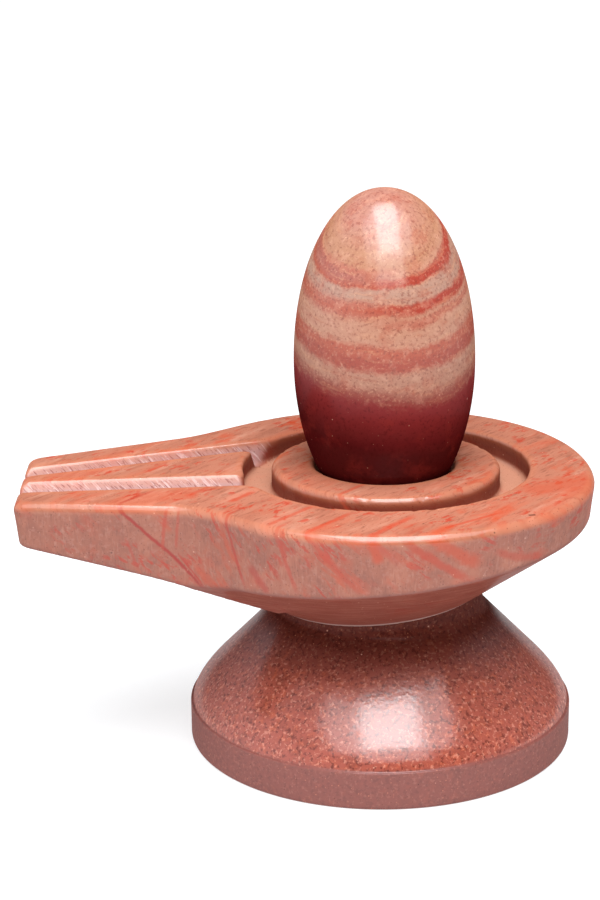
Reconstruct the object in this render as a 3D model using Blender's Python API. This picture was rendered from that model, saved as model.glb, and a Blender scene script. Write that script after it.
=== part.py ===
"""A banded river stone standing in a carved stone base: an egg, a spouted dish and a bell-shaped foot.

Metres, +Z up. The origin is the middle of the foot's underside, and the dish's spout points along -X.
"""

import math

import bmesh
import bpy
from mathutils import Vector

MM = 0.001
GAP = 0.3 * MM
MERGE_DISTANCE = 0.001 * MM
CREASE_ANGLE = math.radians(35)

# Foot: a turned bell with a plain band at the floor and a short neck. Profile points are (radius, height).
FOOT_RADIUS = 51.8 * MM
FOOT_EDGE = 1.2 * MM
BAND_HEIGHT = 10.4 * MM
BAND_ARRIS = 0.3 * MM
SHOULDER_RADIUS = 51.2 * MM
SHOULDER_BEND = (50.6 * MM, 14.0 * MM)
SHOULDER_TOP = (44.2 * MM, 20.5 * MM)
SHOULDER_STEPS = 5
BELL_TOP = (29.0 * MM, 36.3 * MM)
NECK_RADIUS = 27.3 * MM
NECK_BEND_HEIGHT = 38.1 * MM
NECK_HEIGHT = 41.6 * MM
NECK_TILT = 0.09
NECK_STEPS = 4
FOOT_STEPS = 72
FOOT_COLOUR = (0.3, 0.1, 0.08)
FOOT_ROUGHNESS = 0.25

# Dish: its own frame has the ring's centre at x = y = 0 and the top face at z = 0.
DISH_PLACE = Vector((1.5, -0.3, 76.2)) * MM
FOOT_AXIS_FROM_RING = Vector((-1.5, 0.3)) * MM
DISC_CENTRE = Vector((-1.1, -2.2)) * MM
DISC_HALF_SIZES = (55.4 * MM, 55.8 * MM)
DISC_SQUARENESS = 2.1
SPOUT_NEAR_SIDE = (Vector((-54.9, -26.5)) * MM, Vector((-99.2, -16.3)) * MM)
SPOUT_FAR_SIDE = (Vector((-45.3, 36.5)) * MM, Vector((-93.9, 22.6)) * MM)
SPOUT_JOIN_RADIUS = 8.0 * MM
SPOUT_CORNER_RADIUS = 2.5 * MM
EDGE_ROUND = 2.4 * MM
WALL_TAPER = 1.0 * MM
SEAT_RADIUS = 28.7 * MM
UNDERSIDE_SLOPE = 0.673
SPOUT_TIP_THICKNESS = 11.8 * MM
SPOUT_UNDERSIDE_SLOPE = 0.232
SPOUT_UNDERSIDE_BLEND = 7.0 * MM
SPOUT_UNDERSIDE_FLARE = 1.3
SPOUT_ROOT = -32.0 * MM
OUTLINE_POINTS = 112
OUTLINE_SAMPLES = 1440
OUTLINE_SEARCH = (20.0 * MM, 120.0 * MM)
OUTLINE_SEARCH_STEPS = 40
UNDERSIDE_ROWS = 5
DISH_COLOUR = (0.55, 0.24, 0.16)
DISH_ROUGHNESS = 0.3

# What is carved into the dish's top face.
RING_RADIUS = 30.4 * MM
RING_PROUD = 0.4 * MM
RING_ROUND = 1.8 * MM
RING_ROUND_STEPS = 3
MOAT_RADIUS = 38.1 * MM
MOAT_DEPTH = 6.3 * MM
MOAT_LIP = 0.8 * MM
MOAT_LIP_STEPS = 2
NEAR_CHANNEL_TIP = (Vector((-102.0, -7.0)) * MM, Vector((-102.0, 2.2)) * MM)
NEAR_CHANNEL_MOAT = (Vector((-35.0, -11.4)) * MM, Vector((-35.0, -2.3)) * MM)
FAR_CHANNEL_TIP = (Vector((-102.0, 4.5)) * MM, Vector((-102.0, 11.8)) * MM)
FAR_CHANNEL_MOAT = (Vector((-25.5, 20.4)) * MM, Vector((-25.5, 27.6)) * MM)
CHANNEL_TIP_DEPTH = 3.5 * MM
CHANNEL_MOAT_DEPTH = 5.9 * MM
CHANNEL_FLOOR_WIDTH = 2.0 * MM
SOCKET_RADIUS = 19.1 * MM
MOAT_STEPS = 80
SOCKET_STEPS = 64
SOCKET_ROWS = 6
SOCKET_ROW_POWER = 1.5
ABOVE = 3.0 * MM

# Egg: two half ellipses about its widest level, with a small flat to stand on.
EGG_PLACE = Vector((1.2, 0.3, 0.0)) * MM
EGG_RADIUS = 23.85 * MM
EGG_WIDEST = 104.5 * MM
EGG_TOP = 150.5 * MM
EGG_LOWER_REACH = 43.0 * MM
EGG_FLAT_RADIUS = 4.0 * MM
EGG_FULLNESS = 2.08
EGG_STEPS = 56
EGG_ROWS = 12
EGG_COLOUR = (0.42, 0.17, 0.12)
EGG_ROUGHNESS = 0.35


def clear_scene():
    """Removes whatever objects the scene holds."""
    for obj in list(bpy.data.objects):
        bpy.data.objects.remove(obj, do_unlink=True)


def stone_material(name, color, roughness):
    """Returns a polished stone material of one plain colour."""
    material = bpy.data.materials.new(name)
    material.use_nodes = True
    shader = material.node_tree.nodes["Principled BSDF"]
    shader.inputs["Base Color"].default_value = (*color, 1.0)
    shader.inputs["Roughness"].default_value = roughness
    shader.inputs["Metallic"].default_value = 0.0
    return material


def add_object(name, mesh_builder, location, material=None):
    """Makes a mesh object from a bmesh, shaded smooth, with its faces pointing out."""
    bmesh.ops.remove_doubles(mesh_builder, verts=mesh_builder.verts, dist=MERGE_DISTANCE)
    bmesh.ops.recalc_face_normals(mesh_builder, faces=mesh_builder.faces)
    mesh = bpy.data.meshes.new(name)
    mesh_builder.to_mesh(mesh)
    mesh_builder.free()
    mesh.shade_smooth()
    mesh.set_sharp_from_angle(angle=CREASE_ANGLE)
    obj = bpy.data.objects.new(name, mesh)
    obj.location = location
    bpy.context.scene.collection.objects.link(obj)
    if material:
        mesh.materials.append(material)
    return obj


def turned(profile, steps, closed=False):
    """Returns a bmesh of the (radius, height) profile turned about Z, closed where it leaves the axis."""
    shape = bmesh.new()
    verts = [shape.verts.new((radius, 0.0, height)) for radius, height in profile]
    pairs = list(zip(verts, verts[1:]))
    if closed:
        pairs.append((verts[-1], verts[0]))
    edges = [shape.edges.new(pair) for pair in pairs]
    bmesh.ops.spin(
        shape,
        geom=verts + edges,
        cent=(0.0, 0.0, 0.0),
        axis=(0.0, 0.0, 1.0),
        angle=math.tau,
        steps=steps,
        use_merge=True,
    )
    return shape


def quarter_round(start, end, bend, count):
    """Returns the points of a quadratic curve from start to end that bends towards the point bend."""
    points = []
    for index in range(count + 1):
        t = index / count
        weights = ((1 - t) ** 2, 2 * t * (1 - t), t * t)
        points.append(
            tuple(sum(w * p[axis] for w, p in zip(weights, (start, bend, end))) for axis in (0, 1))
        )
    return points


def smooth_min(first, second, reach):
    """Returns the smaller of two values, rounded off where they come within reach of each other."""
    overlap = max(reach - abs(first - second), 0.0) / reach
    return min(first, second) - overlap * overlap * reach / 4


def side_distance(point, start, end):
    """Returns how far a point lies to the right of the line from start to end."""
    along = (end - start).normalized()
    offset = point - start
    return along.y * offset.x - along.x * offset.y


def spout_distance(point):
    """Returns the signed distance from the spout's outline in plan, negative inside."""
    near_start, near_tip = SPOUT_NEAR_SIDE
    far_start, far_tip = SPOUT_FAR_SIDE
    near = -side_distance(point, near_start, near_tip)
    far = side_distance(point, far_start, far_tip)
    tip = -side_distance(point, near_tip, far_tip)
    sides = max(near, far, point.x - SPOUT_ROOT)
    return -smooth_min(-sides, -tip, SPOUT_CORNER_RADIUS)


def disc_distance(point):
    """Returns the signed distance from the disc's outline in plan, negative inside."""
    offset = point - DISC_CENTRE
    across = abs(offset.x / DISC_HALF_SIZES[0]) ** DISC_SQUARENESS
    along = abs(offset.y / DISC_HALF_SIZES[1]) ** DISC_SQUARENESS
    share = (across + along) ** (1 / DISC_SQUARENESS)
    return offset.length * (1 - 1 / max(share, 1e-6))


def outline_distance(point):
    """Returns the signed distance from the dish's outline in plan, with soft inner corners."""
    return smooth_min(disc_distance(point), spout_distance(point), SPOUT_JOIN_RADIUS)


def outline_reach(angle, inset):
    """Returns how far the outline, moved in by inset, lies from the disc's centre at an angle."""
    direction = Vector((math.cos(angle), math.sin(angle)))
    low, high = OUTLINE_SEARCH
    for _ in range(OUTLINE_SEARCH_STEPS):
        middle = (low + high) / 2
        if outline_distance(DISC_CENTRE + direction * middle) < -inset:
            low = middle
        else:
            high = middle
    return low


def outline_angles():
    """Returns the directions from the disc's centre that space points evenly along the outline."""
    angles = [math.tau * index / OUTLINE_SAMPLES for index in range(OUTLINE_SAMPLES + 1)]
    points = [
        DISC_CENTRE + Vector((math.cos(a), math.sin(a))) * outline_reach(a, 0.0) for a in angles
    ]
    lengths = [0.0]
    for first, second in zip(points, points[1:]):
        lengths.append(lengths[-1] + (second - first).length)
    chosen = []
    sample = 0
    for index in range(OUTLINE_POINTS):
        wanted = lengths[-1] * index / OUTLINE_POINTS
        while lengths[sample + 1] < wanted:
            sample += 1
        chosen.append(angles[sample])
    return chosen


def underside_height(point):
    """Returns the height of the dish's underside below a point in plan, in the dish's own frame."""
    from_axis = point - FOOT_AXIS_FROM_RING
    neck = NECK_HEIGHT + GAP - DISH_PLACE.z
    cone = neck + UNDERSIDE_SLOPE * (from_axis.length - SEAT_RADIUS) + NECK_TILT * from_axis.x
    from_tip = point.x - SPOUT_NEAR_SIDE[1].x
    outside = max(spout_distance(point) + WALL_TAPER, 0.0)
    spout = (
        -SPOUT_TIP_THICKNESS
        - SPOUT_UNDERSIDE_SLOPE * from_tip
        + SPOUT_UNDERSIDE_FLARE * outside
    )
    return smooth_min(cone, spout, SPOUT_UNDERSIDE_BLEND)


def dish_blank(material):
    """Builds the dish before anything is carved into its top, as rings of points joined by faces."""
    angles = outline_angles()
    corner = EDGE_ROUND * (1 - math.sqrt(0.5))
    lower_edge = [
        DISC_CENTRE + Vector((math.cos(a), math.sin(a))) * outline_reach(a, WALL_TAPER) for a in angles
    ]
    neck = []
    for point in lower_edge:
        outward = (point - FOOT_AXIS_FROM_RING).normalized()
        neck.append(FOOT_AXIS_FROM_RING + outward * SEAT_RADIUS)
    rings = []
    for row in range(UNDERSIDE_ROWS + 1):
        flat = [inner.lerp(outer, row / UNDERSIDE_ROWS) for inner, outer in zip(neck, lower_edge)]
        rings.append([(p.x, p.y, underside_height(p)) for p in flat])
    for inset, height in ((0.0, -EDGE_ROUND), (corner, -corner), (EDGE_ROUND, 0.0)):
        ring = []
        for angle in angles:
            reach = outline_reach(angle, inset)
            ring.append(
                (
                    DISC_CENTRE.x + math.cos(angle) * reach,
                    DISC_CENTRE.y + math.sin(angle) * reach,
                    height,
                )
            )
        rings.append(ring)
    shape = bmesh.new()
    loops = [[shape.verts.new(co) for co in ring] for ring in rings]
    shape.faces.new(loops[0])
    shape.faces.new(loops[-1])
    for lower, upper in zip(loops, loops[1:]):
        for index in range(OUTLINE_POINTS):
            following = (index + 1) % OUTLINE_POINTS
            shape.faces.new((lower[index], lower[following], upper[following], upper[index]))
    return add_object("yoni_plate", shape, DISH_PLACE, material)


def as_cutter(obj):
    """Marks an object as a helper that only cuts others."""
    obj.hide_render = True
    obj.display_type = "WIRE"
    return obj


def ring_cap():
    """Builds the low disc that makes the ring stand a little proud of the rim."""
    profile = [(0.0, -ABOVE), (RING_RADIUS - RING_ROUND, -ABOVE)]
    profile += [(RING_RADIUS - RING_ROUND, RING_PROUD), (0.0, RING_PROUD)]
    return as_cutter(add_object("ring_cap", turned(profile, MOAT_STEPS), DISH_PLACE))


def moat_cutter():
    """Builds the turned cutter of the moat, with the ring's rounded edge and the moat's outer lip."""
    ring_edge = quarter_round(
        (RING_RADIUS - RING_ROUND, RING_PROUD),
        (RING_RADIUS, -RING_ROUND),
        (RING_RADIUS, RING_PROUD),
        RING_ROUND_STEPS,
    )
    outer_edge = quarter_round(
        (MOAT_RADIUS, -MOAT_LIP), (MOAT_RADIUS + MOAT_LIP, 0.0), (MOAT_RADIUS, 0.0), MOAT_LIP_STEPS
    )
    profile = [(RING_RADIUS - RING_ROUND, ABOVE), *ring_edge]
    profile += [(RING_RADIUS, -MOAT_DEPTH), (MOAT_RADIUS, -MOAT_DEPTH), *outer_edge]
    profile += [(MOAT_RADIUS + MOAT_LIP, ABOVE)]
    return as_cutter(add_object("moat_cutter", turned(profile, MOAT_STEPS, True), DISH_PLACE))


def egg_radius(height):
    """Returns the egg's radius at a height above the floor."""
    if height > EGG_WIDEST:
        share = (height - EGG_WIDEST) / (EGG_TOP - EGG_WIDEST)
        power = EGG_FULLNESS
    else:
        share = (EGG_WIDEST - height) / EGG_LOWER_REACH
        power = 2.0
    return EGG_RADIUS * max(1 - share**power, 0.0) ** (1 / power)


def egg_bottom():
    """Returns the height of the egg's small flat."""
    share = math.sqrt(1 - (EGG_FLAT_RADIUS / EGG_RADIUS) ** 2)
    return EGG_WIDEST - EGG_LOWER_REACH * share


def socket_cutter():
    """Builds the bowl that the egg stands in: a little wider than the egg, with a flat floor."""
    floor = egg_bottom() - GAP - DISH_PLACE.z
    profile = [(0.0, floor), (EGG_FLAT_RADIUS + GAP, floor)]
    clearance = SOCKET_RADIUS - egg_radius(DISH_PLACE.z + RING_PROUD)
    for row in range(1, SOCKET_ROWS + 1):
        share = (row / SOCKET_ROWS) ** SOCKET_ROW_POWER
        height = floor + (RING_PROUD - floor) * share
        radius = egg_radius(DISH_PLACE.z + height) + GAP + (clearance - GAP) * share
        profile.append((radius, height))
    profile += [(SOCKET_RADIUS, ABOVE), (0.0, ABOVE)]
    place = Vector((EGG_PLACE.x, EGG_PLACE.y, DISH_PLACE.z))
    return as_cutter(add_object("socket_cutter", turned(profile, SOCKET_STEPS), place))


def channel_cutter(name, tip_edges, moat_edges):
    """Builds a slanted-sided trough from the spout's tip to the moat, given its edges there in plan."""
    shape = bmesh.new()
    ends = []
    for (near, far), depth in ((tip_edges, CHANNEL_TIP_DEPTH), (moat_edges, CHANNEL_MOAT_DEPTH)):
        middle = (near + far) / 2
        across = (far - near).normalized()
        slant = ((far - near).length - CHANNEL_FLOOR_WIDTH) / 2 / depth
        flat = [
            (near - across * slant * ABOVE, ABOVE),
            (middle - across * CHANNEL_FLOOR_WIDTH / 2, -depth),
            (middle + across * CHANNEL_FLOOR_WIDTH / 2, -depth),
            (far + across * slant * ABOVE, ABOVE),
        ]
        ends.append([shape.verts.new((p.x, p.y, z)) for p, z in flat])
    shape.faces.new(ends[0])
    shape.faces.new(ends[1])
    for index in range(4):
        following = (index + 1) % 4
        shape.faces.new((ends[0][index], ends[0][following], ends[1][following], ends[1][index]))
    return as_cutter(add_object(name, shape, DISH_PLACE))


def carve(obj, other, operation):
    """Adds a Boolean of another object to an object."""
    modifier = obj.modifiers.new(other.name, "BOOLEAN")
    modifier.operation = operation
    modifier.object = other
    modifier.solver = "EXACT"


def build_dish():
    """Builds the carved dish: disc, spout, ring, moat, socket and the two drain channels."""
    dish = dish_blank(stone_material("spouted_dish_stone", DISH_COLOUR, DISH_ROUGHNESS))
    carve(dish, ring_cap(), "UNION")
    carve(dish, moat_cutter(), "DIFFERENCE")
    carve(dish, socket_cutter(), "DIFFERENCE")
    carve(dish, channel_cutter("near_channel", NEAR_CHANNEL_TIP, NEAR_CHANNEL_MOAT), "DIFFERENCE")
    carve(dish, channel_cutter("far_channel", FAR_CHANNEL_TIP, FAR_CHANNEL_MOAT), "DIFFERENCE")
    return dish


def build_foot():
    """Builds the bell-shaped foot, its neck trimmed at the slight slant of the dish's seat."""
    shoulder_foot = (SHOULDER_RADIUS, BAND_HEIGHT)
    neck_top = (NECK_RADIUS, NECK_HEIGHT)
    profile = [(0.0, 0.0), (FOOT_RADIUS - FOOT_EDGE, 0.0), (FOOT_RADIUS, FOOT_EDGE)]
    profile.append((FOOT_RADIUS, BAND_HEIGHT - BAND_ARRIS))
    profile += quarter_round(shoulder_foot, SHOULDER_TOP, SHOULDER_BEND, SHOULDER_STEPS)
    profile += quarter_round(BELL_TOP, neck_top, (NECK_RADIUS, NECK_BEND_HEIGHT), NECK_STEPS)
    profile.append((0.0, NECK_HEIGHT))
    shape = turned(profile, FOOT_STEPS)
    for vert in shape.verts:
        share = max(vert.co.z - BELL_TOP[1], 0.0) / (NECK_HEIGHT - BELL_TOP[1])
        vert.co.z += NECK_TILT * vert.co.x * share
    material = stone_material("foot_stone", FOOT_COLOUR, FOOT_ROUGHNESS)
    return add_object("pedestal", shape, (0.0, 0.0, 0.0), material)


def build_egg():
    """Builds the upright egg-shaped stone."""
    bottom = egg_bottom()
    profile = [(0.0, 0.0), (EGG_FLAT_RADIUS, 0.0)]
    first = math.asin((EGG_WIDEST - bottom) / EGG_LOWER_REACH)
    for row in range(1, EGG_ROWS):
        height = EGG_WIDEST - EGG_LOWER_REACH * math.sin(first * (1 - row / EGG_ROWS))
        profile.append((egg_radius(height), height - bottom))
    for row in range(EGG_ROWS):
        height = EGG_WIDEST + (EGG_TOP - EGG_WIDEST) * math.sin(math.pi / 2 * row / EGG_ROWS)
        profile.append((egg_radius(height), height - bottom))
    profile.append((0.0, EGG_TOP - bottom))
    place = Vector((EGG_PLACE.x, EGG_PLACE.y, bottom))
    material = stone_material("banded_river_stone", EGG_COLOUR, EGG_ROUGHNESS)
    return add_object("lingam", turned(profile, EGG_STEPS), place, material)


def main():
    """Clears the scene and builds the three stones."""
    clear_scene()
    build_foot()
    build_dish()
    build_egg()


if __name__ == "__main__":
    main()
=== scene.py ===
"""Looks of a banded river stone standing in its carved base: an egg, a spouted dish and a bell-shaped foot.

The classes hold their sizes in millimetres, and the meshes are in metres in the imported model's frame.
"""

import itertools
import logging
import math
from collections.abc import Callable, Sequence
from dataclasses import dataclass, field, fields
from enum import Enum
from functools import partial

import bmesh
import bpy
import numpy as np
from mathutils import Matrix, Vector


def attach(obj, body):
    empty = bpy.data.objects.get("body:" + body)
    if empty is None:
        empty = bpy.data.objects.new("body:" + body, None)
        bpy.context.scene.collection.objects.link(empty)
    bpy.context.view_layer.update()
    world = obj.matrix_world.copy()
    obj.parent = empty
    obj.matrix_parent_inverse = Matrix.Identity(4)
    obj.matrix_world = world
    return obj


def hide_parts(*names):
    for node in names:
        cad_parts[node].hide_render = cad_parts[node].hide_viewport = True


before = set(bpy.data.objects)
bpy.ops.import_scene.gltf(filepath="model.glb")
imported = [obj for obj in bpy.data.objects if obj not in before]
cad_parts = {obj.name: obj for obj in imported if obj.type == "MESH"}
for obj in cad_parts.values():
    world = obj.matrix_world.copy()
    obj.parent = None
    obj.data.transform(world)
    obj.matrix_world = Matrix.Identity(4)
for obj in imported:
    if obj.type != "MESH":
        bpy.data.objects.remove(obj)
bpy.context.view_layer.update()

Socket = bpy.types.NodeSocket
Pair = tuple[float, float]
Triple = tuple[float, float, float]
Colour = tuple[float, float, float, float]

MM = 0.001
# Points closer than the first are one point, and edges shorter than the second are dropped, in metres.
SAME_POINT = 2e-6
NO_EDGE = 1e-7
# Keeps a division from meeting zero.
NOTHING = 1e-9
# How much a pattern's finer layers count.
FINE_LAYERS = 0.6
# Where the egg's axis and the dish's ring stand, in millimetres, and how much the foot's top is slanted.
EGG_AXIS = (1.2, 0.3)
DISH_PLACE = (1.5, -0.3, 76.2)
SEAT_TILT = 0.09
# How far the photographer stood to the left of straight in front.
PICTURE_TURN = math.radians(8.0)
LOG = logging.getLogger("river_stone")


class StoneSlot(Enum):
    """The record's material slots, listed here and given to no material."""

    EGG = "banded_river_stone"
    DISH = "spouted_dish_stone"
    FOOT = "foot_stone"


class Mark(Enum):
    """What the points of the dish's mesh are marked as, in the order in which its marks are given."""

    ARRIS = "arris"
    UNDERSIDE = "underside"
    RAGGED = "ragged"
    CHANNEL = "channel"
    MOAT_WALL = "moat_wall"
    MOAT_FLOOR = "moat_floor"
    BEAD = "bead"


def linear(colour: str) -> Colour:
    """Turns an sRGB hex colour into linear values.

    Args:
        colour: Six hex digits after a hash sign.

    Returns:
        Red, green, blue and an opaque alpha.
    """
    channels = [int(colour[place : place + 2], 16) / 255 for place in (1, 3, 5)]
    values = [c / 12.92 if c <= 0.04045 else ((c + 0.055) / 1.055) ** 2.4 for c in channels]
    return (values[0], values[1], values[2], 1.0)


def add_node(
    tree: bpy.types.NodeTree,
    kind: str,
    inputs: dict | None = None,
    output: int | str = 0,
    **settings: object,
) -> Socket | None:
    """Adds a node with its settings, input values and links.

    Args:
        tree: The node tree that gets the node.
        kind: Blender's name for the kind of node.
        inputs: What goes into its inputs, by their name or number: a value, or the socket that feeds it.
        output: The name or number of the output that is wanted.
        **settings: The node's own properties.

    Returns:
        The wanted output's socket, if the node has outputs.
    """
    node = tree.nodes.new(kind)
    for name, value in settings.items():
        setattr(node, name, value)
    for name, value in (inputs or {}).items():
        if isinstance(value, Socket):
            tree.links.new(value, node.inputs[name])
        else:
            node.inputs[name].default_value = value
    return node.outputs[output] if node.outputs else None


def smooth_min(first: np.ndarray, second: np.ndarray, reach: float) -> np.ndarray:
    """Gives the smaller of two distances, blended where they are within reach of each other.

    Args:
        first: Distances in millimetres.
        second: Distances in millimetres.
        reach: How near the two have to be to blend.

    Returns:
        The blended distances.
    """
    overlap = np.maximum(reach - np.abs(first - second), 0.0) / reach
    return np.minimum(first, second) - overlap * overlap * reach / 4


def round_max(first: np.ndarray, second: np.ndarray, radius: float | np.ndarray) -> np.ndarray:
    """Gives the larger of two distances, with the edge where they meet turned to a radius.

    Args:
        first: Distances in millimetres.
        second: Distances in millimetres.
        radius: The edge's radius.

    Returns:
        Distances from what lies inside both.
    """
    beyond = np.hypot(np.maximum(first + radius, 0.0), np.maximum(second + radius, 0.0))
    return np.minimum(np.maximum(first, second), -radius) + beyond


def smooth_step(low: float, high: float, value: np.ndarray) -> np.ndarray:
    """Rises smoothly from 0 at low to 1 at high.

    Args:
        low: The value where the rise starts.
        high: The value where it ends.
        value: What is compared with both.

    Returns:
        Shares from 0 to 1.
    """
    share = np.clip((value - low) / (high - low), 0.0, 1.0)
    return share * share * (3 - 2 * share)


def quarter_round(start: tuple, end: tuple, bend: tuple, count: int) -> list[Pair]:
    """Gives the points of a quadratic curve between two points of a profile, without its last point.

    Args:
        start: The curve's first (radius, height).
        end: Its last.
        bend: The point that it bends towards.
        count: How many steps it has.

    Returns:
        The points.
    """
    points = []
    for index in range(count):
        t = index / count
        weights = ((1 - t) ** 2, 2 * t * (1 - t), t * t)
        radius, height = (sum(w * p[axis] for w, p in zip(weights, (start, bend, end))) for axis in (0, 1))
        points.append((radius, height))
    return points


def straight(start: tuple, end: tuple, count: int) -> list[Pair]:
    """Gives evenly spaced points of a straight stretch of a profile, without its last point.

    Args:
        start: The first (radius, height).
        end: The last.
        count: How many steps there are.

    Returns:
        The points.
    """
    shares = [index / count for index in range(count)]
    return [(start[0] + (end[0] - start[0]) * s, start[1] + (end[1] - start[1]) * s) for s in shares]


@dataclass
class SurfaceNet:
    """Meshes the surface where a distance rule is zero, as a net of even quads.

    The grid's cell and the probe, over which the rule's slope is measured, are in millimetres.
    """

    cell: float = 0.68
    relax_passes: int = 3
    probe: float = 0.02
    least_slope: float = 0.5

    def sample(self, rule: Callable, low: np.ndarray, high: np.ndarray) -> np.ndarray:
        """Reads the rule on a grid.

        Args:
            rule: Gives distances for arrays of x, y and z.
            low: The grid's lowest corner.
            high: A corner that the grid reaches at least.

        Returns:
            The distances, one for each grid point.
        """
        counts = np.ceil((high - low) / self.cell).astype(int) + 1
        across, along, up = (low[axis] + self.cell * np.arange(counts[axis]) for axis in range(3))
        flat_x, flat_y = np.meshgrid(across, along, indexing="ij")
        values = np.empty(counts, np.float32)
        for level, height in enumerate(up):
            values[:, :, level] = rule(flat_x, flat_y, np.full_like(flat_x, height))
        return values

    def settle(self, rule: Callable, points: np.ndarray, passes: int = 2) -> np.ndarray:
        """Moves points along the rule's slope until they lie on the surface.

        Args:
            rule: Gives distances for arrays of x, y and z.
            points: The points, in millimetres.
            passes: How many times they move.

        Returns:
            The moved points.
        """
        for _ in range(passes):
            slope = np.empty_like(points)
            for axis in range(3):
                step = np.zeros(3)
                step[axis] = self.probe
                ahead, behind = rule(*(points + step).T), rule(*(points - step).T)
                slope[:, axis] = (ahead - behind) / (2 * self.probe)
            square = np.maximum((slope**2).sum(1), self.least_slope**2)
            move = np.clip(rule(*points.T) / square, -self.cell / 2, self.cell / 2)
            points = points - slope * move[:, None]
        return points

    def net(self, values: np.ndarray) -> tuple[np.ndarray, np.ndarray]:
        """Puts one point in each grid cell that the surface crosses and joins them in quads.

        Args:
            values: The distances on the grid.

        Returns:
            The points, in grid steps, and the quads' point numbers.
        """
        # A cell is active where some of its corners are in the stone and some aren't.
        inside = values < 0
        corners = np.array(list(itertools.product((0, 1), repeat=3)))
        span = np.array(values.shape) - 1
        filled = sum(
            inside[i : i + span[0], j : j + span[1], k : k + span[2]].astype(np.uint8) for i, j, k in corners
        )
        active = (filled > 0) & (filled < len(corners))
        cells = np.argwhere(active)
        number = np.full(active.shape, -1)
        number[active] = np.arange(len(cells))
        # Its point is the mean of the places where the surface crosses the cell's edges.
        at_corner = np.stack([values[tuple((cells + corner).T)] for corner in corners], 1)
        total = np.zeros((len(cells), 3))
        count = np.zeros(len(cells))
        for first, second in itertools.combinations(range(len(corners)), 2):
            if np.abs(corners[first] - corners[second]).sum() != 1:
                continue
            low, high = at_corner[:, first], at_corner[:, second]
            crossed = (low < 0) != (high < 0)
            share = np.where(crossed, low / np.where(crossed, low - high, 1.0), 0.0)
            place = corners[first] + share[:, None] * (corners[second] - corners[first])
            total += crossed[:, None] * place
            count += crossed
        points = cells + total / count[:, None]
        # Each grid edge that the surface crosses gets a quad of the four cells round it, turned outwards.
        quads = []
        for axis in range(3):
            side = [np.eye(3, dtype=int)[(axis + turn) % 3] for turn in (1, 2)]
            before = np.take(inside, range(inside.shape[axis] - 1), axis)
            after = np.take(inside, range(1, inside.shape[axis]), axis)
            edges = np.argwhere(before != after)
            ring = [edges - side[0] - side[1], edges - side[1], edges, edges - side[0]]
            quad = np.stack([number[tuple(place.T)] for place in ring], 1)
            leaving = before[tuple(edges.T)]
            quads.append(np.where(leaving[:, None], quad, quad[:, ::-1]))
        return points, np.concatenate(quads)

    def relaxed(self, points: np.ndarray, quads: np.ndarray) -> np.ndarray:
        """Moves each point to the mean of its neighbours.

        Args:
            points: The net's points.
            quads: The quads' point numbers.

        Returns:
            The moved points.
        """
        start = np.concatenate([quads.T] * 2, axis=None)
        end = np.concatenate([np.roll(quads, turn, 1).T for turn in (-1, 1)], axis=None)
        weight = np.bincount(start, minlength=len(points))
        mean = [np.bincount(start, points[end, axis], len(points)) / weight for axis in range(3)]
        return np.stack(mean, 1)

    def mesh(self, rule: Callable, low: tuple, high: tuple) -> tuple[np.ndarray, np.ndarray]:
        """Meshes the surface inside a box.

        Args:
            rule: Gives distances for arrays of x, y and z.
            low: The box's lowest corner.
            high: Its highest corner.

        Returns:
            The points in millimetres, and the quads.
        """
        corner = np.array(low, float)
        values = self.sample(rule, corner, np.array(high, float))
        points, quads = self.net(values)
        points = self.settle(rule, corner + points * self.cell)
        for _ in range(self.relax_passes):
            points = self.settle(rule, self.relaxed(points, quads), 1)
        return self.settle(rule, points, 1), quads


def mesh_object(
    name: str, points: np.ndarray, edges: Sequence = (), faces: Sequence = (), marks: dict | None = None
) -> bpy.types.Object:
    """Makes a mesh object at the origin.

    Args:
        name: The object's name.
        points: The points in metres.
        edges: The loose edges' point numbers.
        faces: The faces' point numbers.
        marks: How strongly each point bears each mark.

    Returns:
        The linked object.
    """
    mesh = bpy.data.meshes.new(name)
    mesh.from_pydata(points.tolist(), edges, faces)
    for mark, values in (marks or {}).items():
        attribute = mesh.attributes.new(mark.value, "FLOAT", "POINT")
        attribute.data.foreach_set("value", values.astype(np.float32))
    obj = bpy.data.objects.new(name, mesh)
    bpy.context.scene.collection.objects.link(obj)
    return obj


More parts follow.
